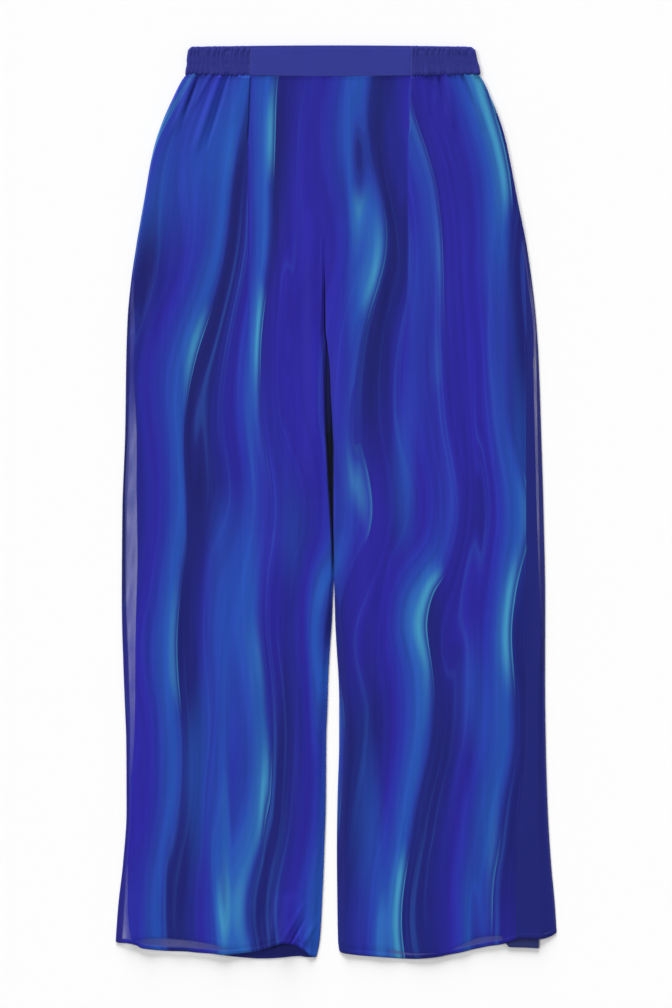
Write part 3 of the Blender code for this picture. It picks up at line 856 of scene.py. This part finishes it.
# How clear the unlined bands above the hems are
clearHems = {
    "columns": ("across", "clear"),
    "right": [(0, 0), (98, 0), (116, 0.2), (127, 0.45), (142, 0.75), (158, 0.9), (176, 1), (190, 0.9),
              (202, 0.6), (212, 0.5), (222, 0.3), (234, 0.15), (262, 0.1)],
    "left": [(0, 0), (60, 0), (68, 0.5), (83, 0.8), (118, 0.8), (132, 0.4), (147, 0.5), (160, 0.65),
             (190, 0.6), (197, 0.45), (202, 0), (238, 0), (243, 0.8), (262, 1.1)],
    "fadeIn": 3,  # below the lining's hem
    "underneath": 0.5,  # the back's share
}

# Soft creases change how clear the strips beside the seams are, and so do their middles and the
# last stretch above the hems
clearStrips = {
    "most": 1.09, "creased": 0.36, "size": (3.6, 21), "lean": 26, "seed": 91,
    "middle": 0.2, "hemShare": 0.62, "nearHem": (960, 40),
}

# The narrow rolled hem stands up a little between its fold and its line of stitches, but not where
# the cloth comes down to the surface. Past the lining's hem the cloth droops.
rolledHem = {
    "width": 4, "height": 0.32, "roundness": 0.75, "rollEnd": 1.6, "dip": 0.14, "dipAt": 1, "dipWidth": 0.7,
    "clearFrom": 4.4, "turn": 3.4, "droop": 1, "droops": (-3, 14),
    "lowest": {"front": 0.5, "back": 1}, "lifted": 4,
}

# Edges look darker where the cloth is double: along the side seams below the hips, and at the fold
# of the rolled hems
edgeShade = {"seam": 0.35, "hem": 0.3, "hemWidth": 1.8, "belowHips": (250, 60)}


def edgeShadeAt(side, layer, across, down):
    onSeam = edgeAt(side, down) - across < seamInset(side, down)
    toHem = hemAt(side, layer, across) - down
    atHem = 1.0 - ease(toHem / edgeShade["hemWidth"])
    belowHips = rising(down, *edgeShade["belowHips"])
    return np.maximum(edgeShade["seam"] * onSeam * belowHips, edgeShade["hem"] * atHem)


def closenessAt(side, layer, across, down):
    inset = edgeAt(side, down) - across
    seam, inner = seamInset(side, down), liningInset(side, down)
    share = np.clip((inset - seam) / (inner - seam), 0, 1)
    strip, (wide, long) = clearStrips, clearStrips["size"]
    noise = softNoise(across / wide - down / strip["lean"], down / long, strip["seed"])
    clear = strip["most"] - strip["creased"] * (0.5 + 0.5 * noise)
    clear = clear * (1.0 - strip["middle"] * np.sin(math.pi * share))
    clear = clear * (1.0 - strip["hemShare"] * share * rising(down, *strip["nearHem"]))
    clear = (inset > seam) * (inset < inner) * readTable(sides, "clear", down, side) * clear
    past = ease((down - hemAt(side, "lining", across)) / clearHems["fadeIn"])
    hemBand = readTable(clearHems, "clear", across, side) * past
    hemBand = hemBand * (clearHems["underneath"] if layer == "back" else 1.0)
    clear = np.maximum(clear, hemBand) * (hemAt(side, layer, across) - down > rolledHem["clearFrom"])
    closeness = hiding["overLining"] + (hiding["alone"] - hiding["overLining"]) * clear
    belowHips = rising(down, *edgeShade["belowHips"])
    onSeam = hiding["overLining"] + (hiding["sideSeam"] - hiding["overLining"]) * belowHips
    return np.where(inset < seam, onSeam, closeness)


def hemRelief(side, layer, across, down, z):
    # the roll falls away to its fold and drops at once to its line of stitches; the droop comes
    # off its height
    hem = rolledHem
    toHem = hemAt(side, layer, across) - down
    roll = np.clip(toHem / hem["width"], 0, 1) ** hem["roundness"]
    roll = roll * ease(1.0 - (toHem - hem["width"]) / hem["rollEnd"])
    stitched = np.exp(-((toHem - hem["width"] - hem["dipAt"]) / hem["dipWidth"]) ** 2)
    past = down - hemAt(side, "lining", across)
    droop = hem["droop"] * rising(past, *hem["droops"])
    lie = np.clip((z - hem["lowest"][layer]) / hem["lifted"], 0.0, 1.0)
    return (hem["height"] * roll - hem["dip"] * stitched - droop) * lie


front = {
    "rows": (3, 0.9, 34),  # spacing, the closest of it, and how far from each end that is
    "columns": {"lip": 9, "inner": 39, "right": (64, 7, 4), "left": (68, 5)},
    "gaps": {"lip": 1.3, "inner": 1.6, "outer": 2, "rim": (3.2, 2.6)},  # between those columns
    "seamGap": 0.3, "allowance": 4.5, "turnDrop": 0.6,
    "pinched": 0.25, "pinchOver": 4.5,  # under the waistband's edge
    "meetsPanel": 0.35, "meetsGathers": 0.55, "meetsOver": 6,
    "overWrap": 0.35, "overWrapEase": 2,  # where the left front lies over the left back
    "pleats": {
        "right": {"across": 94, "slant": 3, "length": 88, "height": 1.6, "depth": 13},
        "left": {"across": 91.2, "slant": -3.2, "length": 74, "height": 1.5, "depth": 13},
    },
    "pleatBack": 20, "pleatTaper": {"depth": 0.6, "height": 0.7},
}

# One pleat, walking outwards: place in pleat depths from its edge, and height in pleat heights.
# Its edge is the row at "crest".
pleatSection = [
    (0.00, 0.00), (0.35, 0.02), (0.70, 0.06), (0.93, 0.12), (1.00, 0.26), (0.93, 0.40), (0.70, 0.46),
    (0.35, 0.50), (0.07, 0.56), (0.00, 0.76), (0.04, 0.93), (0.14, 1.00), (0.45, 1.00), (0.80, 1.00),
    (1.15, 1.00),
]
pleatPlaces = np.array([row[0] for row in pleatSection])
pleatHeights = np.array([row[1] for row in pleatSection])

# Where the same columns lie once the pleat has opened out: below it they spread apart
pleatOpen = {
    "crest": 9, "before": 3, "beyond": 16, "spread": 22, "from": 0.6, "over": 150, "opens": 0.35,
}

# The flat cut of a front: the cloth inside the pleat counts, and the elastic draws in the cloth
# beside it, which was cut as wide as the hips
frontCut = {
    "pleatFade": 0.7, "easing": 9, "easingEnds": (60, 380), "easingPast": 1.9,
    "width": 204, "widens": 0.1, "rounding": 14, "drawnOver": 330,
}


def pleatFade(pleat, down):
    return np.clip(1.0 - (down - band["depth"]) / pleat["length"], 0.0, 1.05)


def pleatCrest(pleat, down):
    return pleat["across"] + pleat["slant"] * (1.0 - pleatFade(pleat, down))


def pleatReach(pleat, down):
    # how far before and beyond its edge a pleat's columns lie where it is open
    past = down - band["depth"] - pleatOpen["from"] * pleat["length"]
    spread = pleatOpen["spread"] * ease(past / pleatOpen["over"])
    return pleatOpen["before"] + spread, pleatOpen["beyond"] + spread


def pleatLay(pleat, level):
    crest, last = pleatOpen["crest"], len(pleatPlaces) - 1
    count = np.arange(last + 1)
    inner, outer = np.clip(1.0 - count / crest, 0, 1), np.clip((count - crest) / (last - crest), 0, 1)
    before, beyond = pleatReach(pleat, level)
    opened = 1.0 - ease(pleatFade(pleat, level) / pleatOpen["opens"])
    depth = pleat["depth"] * pleatFade(pleat, level) ** front["pleatTaper"]["depth"]
    tail = outer * np.maximum(beyond - pleatPlaces[-1] * depth, 0.0) * (1.0 - opened)
    flat = opened * (beyond * outer - before * inner)
    return pleatCrest(pleat, level) + depth * pleatPlaces * (1.0 - opened) + flat + tail


def frontZones(side, level):
    # the lip's slope, the inner half, the pleat, and the outer half out to the side seam
    pleat, counts, gaps = front["pleats"][side], front["columns"], front["gaps"]
    inner, crest = innerAt(side, level), pleatCrest(pleat, level)
    slopeEnd = inner + readTable(inseam, side + "Slope", level)
    before, beyond = pleatReach(pleat, level)
    zones = [
        (counts["lip"], inner, slopeEnd),
        (counts["inner"], slopeEnd + gaps["lip"], crest - before - gaps["inner"]),
        (len(pleatPlaces), lambda own: pleatLay(pleat, own)),
    ]
    start = crest + beyond + gaps["outer"]
    if side == "right":
        return zones + sideZones(side, start, counts["right"], level)
    last = edgeAt(side, level) - readTable(outline, "shows", level) - front["seamGap"]
    (wide, rim), (wideEnd, rimStart) = counts["left"], gaps["rim"]
    return zones + [(wide, start, last - wideEnd), (rim, last - rimStart, last)]


def overColumns(values, total):
    # the pleat's values in its own columns, nothing before them and the last one after them
    before = front["columns"]["lip"] + front["columns"]["inner"]
    return np.concatenate([np.zeros(before), values, np.full(total - before - len(values), values[-1])])


def frontHeight(side, pleat, across, down):
    # the laid cloth, the pleat, what the waistband's edge does to both, and the hem
    beyondCrest = np.clip((across - pleatCrest(pleat, down)) / front["pleatBack"], 0.0, 1.0)
    heights = pleat["height"] * pleatFade(pleat, down) ** front["pleatTaper"]["height"]
    heights = heights * overColumns(pleatHeights, across.shape[1])
    belowBand = down - bandBottom(across)
    pinch = front["pinched"] + (1.0 - front["pinched"]) * ease(belowBand / front["pinchOver"])
    z = frontLevel(side, across, down)
    z = np.where(z > levels["front"], levels["front"] + (z - levels["front"]) * pinch, z)
    meets = np.where(across < band["panelEnd"][side], front["meetsPanel"], front["meetsGathers"])
    meets = meets * (1.0 - ease(belowBand / front["meetsOver"]))
    z += heights * ease(1.0 - beyondCrest) * pinch + meets
    z += hemRelief(side, "front", across, down, z)
    if side == "left":
        wrapEnd = edgeAt(side, down) - readTable(outline, "wrap", down)
        z += front["overWrap"] * ease((across - wrapEnd + front["overWrapEase"]) / front["overWrapEase"])
    return z


def frontWalk(side, pleat, across, down):
    cut, edge, crest = frontCut, edgeAt(side, down), pleatCrest(pleat, down)
    inside = np.concatenate([[0.0], np.cumsum(np.abs(np.diff(pleatPlaces)))])
    extra = overColumns(inside - pleatPlaces, across.shape[1])
    fading = 1.0 - (down - band["depth"]) / pleat["length"]
    taken = pleat["depth"] * 0.5 * (fading + np.hypot(fading, cut["pleatFade"]))
    easing = cut["easing"] * (1.0 - rising(down, *cut["easingEnds"]))
    intake = extra * (taken + easing * (extra > cut["easingPast"]))
    short = cut["width"] + cut["widens"] * (down - band["depth"]) - edge
    short = 0.5 * (short + np.hypot(short, cut["rounding"]))
    short = short * ease(1.0 - (down - band["depth"]) / cut["drawnOver"])
    drawn = np.maximum(across - crest, 0.0) / (edge - crest) * short
    return (1.0 if side == "left" else -1.0) * (across + intake + drawn)


def sewPanel(side, layer, across, down, grid, outerTurn, drop, material):
    # a front or back, with its seam and hem allowances turned under
    grid["closeness"] = closenessAt(side, layer, across, down)
    allowance = (front if layer == "front" else back)["allowance"]
    for turn in (("first", allowance, drop), outerTurn or ("last", allowance, drop),
                 ("hem", rolledHem["turn"], drop)):
        grid = turnUnder(grid, *turn)
    return addSheet(side + layer.capitalize(), side, grid, material)


def makeFront(side):
    pleat = front["pleats"][side]
    across, down = layFlat(side, "front", front["rows"], lambda level: frontZones(side, level))
    grid = {
        "at": place(side, across, down, frontHeight(side, pleat, across, down)),
        "cut": cutAt("fronts", frontWalk(side, pleat, across, down), down),
        "shaded": np.maximum(creaseShade(side, across, down, "front"),
                             edgeShadeAt(side, "front", across, down)),
    }
    piece = sewPanel(side, "front", across, down, grid, None, front["turnDrop"], printedChiffon)
    finishPiece(piece, "front_" + side, "printed_chiffon", flat=(0.28, 1.03), area=0.25,
                rests_on=["lining_front_" + side])


# The left back goes on round the side to the front
back = {
    "rows": (5, 0.9, 34), "columns": {"right": (84, 6, 3), "left": (76, 6), "wrap": (2, 8, 2, 7, 18)},
    "wrapGaps": (0.25, 0.1, 0.3),  # after the flat part, after the turn and before the end
    "allowance": 4.5, "turnDrop": 0.55, "leastTurn": 0.3, "stripLeft": 1.2,
    "seed": {"right": 41, "left": 53}, "slack": 0.12, "slackSize": (24, 110), "edgeOver": 12,
}

# Soft creases in the backs, which lie on the surface and so can only rise from it
backFolds = {
    "right": [
        (60, 30, 78, 120, 0.5, 9), (104, 30, 118, 96, 0.6, 8), (140, 30, 172, 128, 0.6, 9),
        (40, 240, 66, 520, 0.45, 16), (150, 380, 120, 700, 0.5, 20), (84, 640, 100, 930, 0.45, 18),
    ],
    "left": [
        (52, 30, 60, 110, 0.5, 9), (96, 30, 120, 130, 0.6, 9), (146, 30, 176, 112, 0.6, 8),
        (34, 220, 58, 560, 0.45, 16), (160, 300, 132, 640, 0.5, 20), (92, 700, 80, 980, 0.45, 18),
    ],
}


def backInnerAt(side, down):
    return readTable(backInseam, side, down)


def backLevel(side, across, down):
    (wide, long), over = back["slackSize"], back["edgeOver"]
    rise = ridgeSum(backFolds[side], across, down)
    rise += back["slack"] + back["slack"] * softNoise(across / wide, down / long, back["seed"][side])
    inside = ease((edgeAt(side, down) - across) / over) * ease((across - backInnerAt(side, down)) / over)
    return levels["back"] + rise * inside


def makeBackRight():
    across, down = layFlat("right", "back", back["rows"], lambda level: sideZones(
        "right", backInnerAt("right", level), back["columns"]["right"], level))
    grid = {
        "at": place("right", across, down, backLevel("right", across, down)),
        "cut": cutAt("rightBack", across, down),
        "shaded": creaseShade("right", across, down, "back"),
    }
    piece = sewPanel("right", "back", across, down, grid, None, -back["turnDrop"], plainChiffon)
    finishPiece(piece, "back_right", "plain_chiffon", flat=(0.265, 1.03), area=0.25, rests_on=["floor"])


def wrapRadius():
    return 0.5 * (levels["edge"] - levels["back"])


def wrappedAcross(down, walk):
    # across and height at a distance walked from the inner leg, round the side and to the front
    radius = wrapRadius()
    flatEnd = edgeAt("left", down) - radius
    turned = np.clip((walk - flatEnd) / (math.pi * radius), 0.0, 1.0)
    returned = np.maximum(walk - flatEnd - math.pi * radius, 0.0)
    across = np.where(walk < flatEnd, walk, flatEnd + radius * np.sin(math.pi * turned) - returned)
    z = np.where(walk < flatEnd, backLevel("left", np.minimum(across, flatEnd), down),
                 levels["back"] + radius * (1.0 - np.cos(math.pi * turned)))
    z = np.where(returned > 0, frontLevel("left", across, down), z)
    return {"across": across, "z": z, "walk": walk}


def backLeftZones(level):
    edge, gap, seam = edgeAt("left", level), columnGap("left", level), seamInset("left", level)
    radius, (atFlat, atTop, atEnd) = wrapRadius(), back["wrapGaps"]
    flatEnd = edge - radius
    top = flatEnd + math.pi * radius
    end = top + readTable(outline, "wrap", level) - radius
    middle = np.minimum(top + liningInset("left", level) - radius, end - atEnd)
    ends = [  # the seam underneath, the turn, the seam on top, the unlined strip, the rest
        (edge - seam + 0.5 * gap, flatEnd), (flatEnd + atFlat, top),
        (top + atTop, top + seam - radius - 0.5 * gap), (top + seam - radius + gap, middle - gap),
        (middle, end),
    ]
    return sideZones("left", backInnerAt("left", level), back["columns"]["left"], level) + [
        (count, *pair) for count, pair in zip(back["columns"]["wrap"], ends)]


def makeBackLeft():
    laid, down = layRows("left", "back", back["rows"],
                         lambda level: wrappedAcross(level, layColumns(backLeftZones(level), level)))
    across, walk = laid["across"], laid["walk"]
    onTop = walk > edgeAt("left", down) - wrapRadius()
    grid = {
        "at": place("left", across, down,
                    laid["z"] + hemRelief("left", "back", across, down, laid["z"]) * onTop),
        "cut": cutAt("leftBack", walk, down),
        "shaded": creaseShade("left", walk, down, "back"),
    }
    # its outer edge lies upside down, and its allowance is no wider than what comes round
    strip = readTable(outline, "wrap", down[:, -1:]) - back["stripLeft"]
    outerTurn = ("last", np.clip(strip, back["leastTurn"], back["allowance"]), back["turnDrop"])
    piece = sewPanel("left", "back", across, down, grid, outerTurn, -back["turnDrop"], plainChiffon)
    finishPiece(piece, "back_left", "plain_chiffon", flat=(0.32, 1.03), area=0.28, rests_on=["floor"])


lining = {
    "rows": (8, 2, 40), "columns": 60, "innerInset": 2.5, "hemTurn": 12, "apart": 0.45,
    "seed": {"right": 61, "left": 71}, "slack": 0.15,
    "plies": {"front": ("liningFront", 18, 90), "back": ("liningBack", 20, 80)},
}


def makeLiningPanel(side, ply):
    across, down = layFlat(side, "lining", lining["rows"], lambda level: [
        (lining["columns"], innerAt(side, level) + lining["innerInset"],
         edgeAt(side, level) - liningInset(side, level))])
    z = frontLevel(side, across, down)
    for step, layer in enumerate(("front", "back") if ply == "back" else ("front",)):
        level, wide, long = lining["plies"][layer]
        slack = lining["slack"] * softNoise(across / wide, down / long, lining["seed"][side] + step)
        z = np.minimum(levels[level] + slack, z - lining["apart"])
    grid = {"at": place(side, across, down, z), "cut": cutAt("linings", across, down)}
    grid = turnUnder(grid, "hem", lining["hemTurn"], lining["apart"] * (0.5 if ply == "front" else -0.5))
    piece = addSheet(f"{side}Lining{ply.capitalize()}", side, grid, liningCloth)
    below = f"lining_back_{side}" if ply == "front" else f"back_{side}"
    finishPiece(piece, f"lining_{ply}_{side}", "lining", flat=(0.255, 1.03), area=0.24, rests_on=[below])


for side in ("right", "left"):
    makeFront(side)
    makeLiningPanel(side, "front")
    makeLiningPanel(side, "back")
makeBackRight()
makeBackLeft()
print("legs laid")


# The waistband's wall in section, from the inner face's lower edge over the top fold and down the
# outer face. start and lip are the lower edge: down from it, and out from the wall's face or its
# middle. A row's last number is its share on the outer face.
wallSection = {
    "start": (-2, 0.5), "innerRows": 6, "innerFrom": 0.6, "innerReach": 0.97,
    "foldRows": 7, "faceEnd": 0.7,
    "lip": [(-0.15, 0.946, 0.8), (0.1, 0.44, 0.4), (-0.3, -0.1, 0.2), (-2.5, -0.2, 0)],
}


def roundedProfile(faceRows):
    section, depth, half = wallSection, band["depth"], 0.5 * waist["wall"]
    rows = [(depth + section["start"][0], -half + section["start"][1], 0.0)]
    for i in range(section["innerRows"]):
        share = 1 - i / section["innerRows"]
        rows.append((depth * share * section["innerReach"] + section["innerFrom"], -half, 0.0))
    for i in range(section["foldRows"]):
        turn = math.pi * (i + 0.5) / section["foldRows"]
        rows.append((half * (1 - math.sin(turn)), -half * math.cos(turn), 0.5 * (1 - math.cos(turn))))
    for i in range(faceRows + 1):
        rows.append((half + (depth - half - section["faceEnd"]) * i / faceRows, half, 1.0))
    rows += [(depth + low, out, share) for low, out, share in section["lip"]]
    rows = np.array(rows)
    walked = np.cumsum(np.abs(np.diff(rows[:, 0], prepend=rows[0, 0])))
    return rows[:, :1], rows[:, 1:2], rows[:, 2:], walked[:, None]


# The flat front panel. A pressed line has its depth, how far in it is and its half width, and the
# paler edges, a painted highlight, begin and fade at the distances given.
panel = {
    "endGap": 0.1, "endColumns": 9, "endReach": 3, "columns": 110, "reachFrom": 4, "faceRows": 30,
    "drop": 0.7, "swell": 0.12, "swellSize": (34, 16), "endThin": (0.1, 0.6),
    "topLine": (0.2, 2.2, 0.7), "endLine": (0.25, 1.7, 0.6),
    "paleEnd": (1.6, 0.8), "paleLower": (1.8, 0.9), "paleLowerShare": 0.8,
}


def makeWaistPanel():
    right = panel["endGap"] - band["panelEnd"]["right"]
    left = band["panelEnd"]["left"] - panel["endGap"]
    nearEnd = np.linspace(0.0, panel["endReach"], panel["endColumns"])
    middle = np.linspace(right + panel["reachFrom"], left - panel["reachFrom"], panel["columns"])
    depth, out, outer, walked = roundedProfile(panel["faceRows"])
    across = np.tile(np.concatenate([right + nearEnd, middle, left - nearEnd[::-1]]), (len(depth), 1))
    fromEnd, fromLower = np.minimum(across - right, left - across), band["depth"] - depth
    thin, over = panel["endThin"]
    z = waist["frontZ"] + out * (1.0 - thin + thin * ease(fromEnd / over))
    wide, long = panel["swellSize"]
    z += outer * panel["swell"] * softNoise(across / wide, depth / long, waist["seed"])
    for inwards, (deep, at, width) in ((depth, panel["topLine"]), (fromEnd, panel["endLine"])):
        z -= outer * deep * np.exp(-((inwards - at) / width) ** 2)
    # a painted highlight along the panel's ends and its lower edge
    pale = [ease(at - inwards / over) for inwards, (at, over) in
            ((fromEnd, panel["paleEnd"]), (fromLower, panel["paleLower"]))]
    grid = {
        "at": place("left", across, bandDown(across, depth, panel["drop"]), z),
        "cut": cutAt("waistPanel", across, walked),
        "pressed": np.maximum(pale[0], panel["paleLowerShare"] * pale[1]) * outer,
    }
    finishPiece(addSheet("waistPanel", "left", grid, plainCrepe), "waistband_front", "waistband_plain",
                flat=(0.19, 0.076), area=0.0144, rests_on=["front_right", "front_left"])


# The gathered band. Its cloth is puffed between the rows of stitches, and flatter on the underside
# that it lies on.
gathered = {
    "step": 0.75, "faceRows": 46, "drop": 1.3, "cutPerWalk": 1.35, "lowest": 0.12,
    "swell": 0.5, "swellEnds": 0.6, "coarse": 1.35, "fine": 0.4, "creased": 2.6,
    # how strong the gathers are: on each side, everywhere, and more at the edges (depth, over)
    "lively": {"right": 0.9, "left": 1.35, "all": 0.36, "upper": (0.62, 5, 5), "lower": (0.5, 6.5)},
    "held": [(6.2, 1), (21.5, 0.35)],  # depth of each row of stitches, and how hard it holds
    "heldWidth": 2.4, "heldWaver": 0.6, "heldUneven": 0.4, "heldSize": (21, 12),
    "heldPuff": 0.04, "heldCrease": 1.1,
    "edgeCrease": 0.5, "edgeOver": 5,
    "under": 0.30, "outward": 0.35,
    "sewn": 0.25, "sewnOver": 3.5,  # it is thinner where the legs are sewn to it
    "leansFrom": 95, "flare": {"right": 3.6, "left": 5.4},  # wider at the lower edge than at the top
    "corner": 2.6, "cornerDown": 4.5, "cornerAcross": (156, 9),
    "leftCorner": 1.6, "leftDown": 24,
    "rough": 0.5, "roughSize": (3.4, 60), "roughFrom": 6,
    # the edges are drawn up between the gathers: how far, about which height of them, over what
    "notch": (1.4, 0.45, 7), "bump": (0.7, 0.5, 6),
    # pale and paleEnd: a painted highlight near the band's ends beside the panel
    "pale": 0.35, "paleEnd": (1.6, 0.8),
}


def bandPath():
    # the middle of the gathered band's wall: from the panel's right end round the back to its
    # left end. Gives across, height and the outward direction
    radius, turn = 0.5 * (waist["frontZ"] - waist["backZ"]), waist["foldAcross"]
    arc, total = math.pi * radius, bandLength()
    walk = np.linspace(0, total, int(total / gathered["step"]))
    rightSide = walk < turn - band["panelEnd"]["right"] + arc + turn
    side = np.where(rightSide, -1.0, 1.0)
    start = np.where(rightSide, band["panelEnd"]["right"], band["panelEnd"]["left"]) + panel["endGap"]
    folded = np.where(rightSide, walk, total - walk)
    run = turn - start
    angle = np.clip((folded - run) / radius, 0, math.pi)
    across = np.where(folded < run, start + folded, turn + radius * np.sin(angle))
    across = np.where(folded > run + arc, turn - (folded - run - arc), across)
    z = waist["backZ"] + radius * (1 + np.cos(angle))
    return walk, side * across, z, side * np.sin(angle), np.cos(angle)


def gatheredPuff(walk, across, depth, relief, crease):
    # how far the cloth stands out from the wall
    lively, held = gathered["lively"], gathered["heldSize"]
    fromLower = band["depth"] - depth
    upper, at, over = lively["upper"]
    lower, lowerOver = lively["lower"]
    strength = lively["all"] + upper * np.exp(-((depth - at) / over) ** 2)
    strength = strength + lower * np.exp(-(fromLower / lowerOver) ** 2)
    strength = strength * np.where(across < 0, lively["right"], lively["left"])
    finer = gatherRelief(walk, depth, gathers["fine"], gathers["seed"] + 40)
    middle = np.sin(math.pi * np.clip(depth / band["depth"], 0, 1))
    puff = gathered["swell"] * middle ** gathered["swellEnds"]
    puff = puff + (gathered["coarse"] * relief + gathered["fine"] * finer) * strength
    for row, hold in gathered["held"]:
        uneven = gathered["heldUneven"] * softNoise(walk / held[0], row, waist["seed"] + 5)
        uneven = 1.0 - gathered["heldUneven"] + uneven
        wavered = depth - row - gathered["heldWaver"] * softNoise(walk / held[1], row, 3)
        near = np.exp(-(wavered / gathered["heldWidth"]) ** 2)
        puff = puff - near * hold * uneven * (gathered["heldPuff"] + gathered["heldCrease"] * crease)
    return puff - gathered["edgeCrease"] * crease * ease(1.0 - fromLower / gathered["edgeOver"])


def makeGatheredBand():
    walk, across, z, outX, outZ = bandPath()
    depth, out, outer, walked = roundedProfile(gathered["faceRows"])
    relief = gatherRelief(walk, depth, gathers["coarse"], gathers["seed"])
    crease = np.clip(1.0 - gathered["creased"] * relief, 0.0, 1.0)
    fromLower = band["depth"] - depth
    lying = gathered["under"] + gathered["outward"] * (1 + outZ)
    sewn = 1.0 - gathered["sewn"] * (1.0 - ease(fromLower / gathered["sewnOver"]))
    reach = out + outer * gatheredPuff(walk, across, depth, relief, crease) * lying * sewn
    laidAcross = across + outX * reach
    laidZ = np.maximum(z + outZ * reach, gathered["lowest"])

    # rounded upper corners, sides that lean out downwards, and edges drawn up between the gathers
    share = (np.abs(laidAcross) - gathered["leansFrom"]) / (waist["foldAcross"] - gathered["leansFrom"])
    share = share.clip(0, 1)
    flare = np.where(laidAcross < 0, gathered["flare"]["right"], gathered["flare"]["left"])
    corner = gathered["corner"] * (1.0 - ease(depth / gathered["cornerDown"]))
    corner = corner * rising(np.abs(across), *gathered["cornerAcross"])
    leftCorner = gathered["leftCorner"] * (1.0 - ease(depth / gathered["leftDown"]))
    corner = corner + leftCorner * share * (laidAcross > 0)
    long, wide = gathered["roughSize"]
    rough = gathered["rough"] * softNoise(depth / long, laidAcross / wide, waist["seed"] + 8)
    rough = rough * ease(depth / gathered["roughFrom"])
    widened = share * rough + flare * share**2 * depth / band["depth"] - corner
    laidAcross = laidAcross + np.sign(laidAcross) * widened
    (notch, middle, notchOver), (bump, bumpMiddle, bumpOver) = gathered["notch"], gathered["bump"]
    drawn = notch * (relief - middle) * ease(1.0 - fromLower / notchOver)
    drawn = drawn + bump * (bumpMiddle - relief) * ease(1.0 - depth / bumpOver)
    at, over = gathered["paleEnd"]
    grid = {
        "at": place("left", laidAcross, bandDown(across, depth, gathered["drop"]) + drawn * outer, laidZ),
        "cut": cutAt("waistGathered", gathered["cutPerWalk"] * walk, walked),
        "pressed": gathered["pale"] * outer * ease(at - np.minimum(walk, walk[-1] - walk) / over),
    }
    finishPiece(addSheet("waistGathered", "left", grid, gatheredCrepe), "waistband_back",
                "waistband_gathered", flat=(0.6, 0.076), area=0.0445, rests_on=["floor"])


makeWaistPanel()
makeGatheredBand()
print("waistband made")
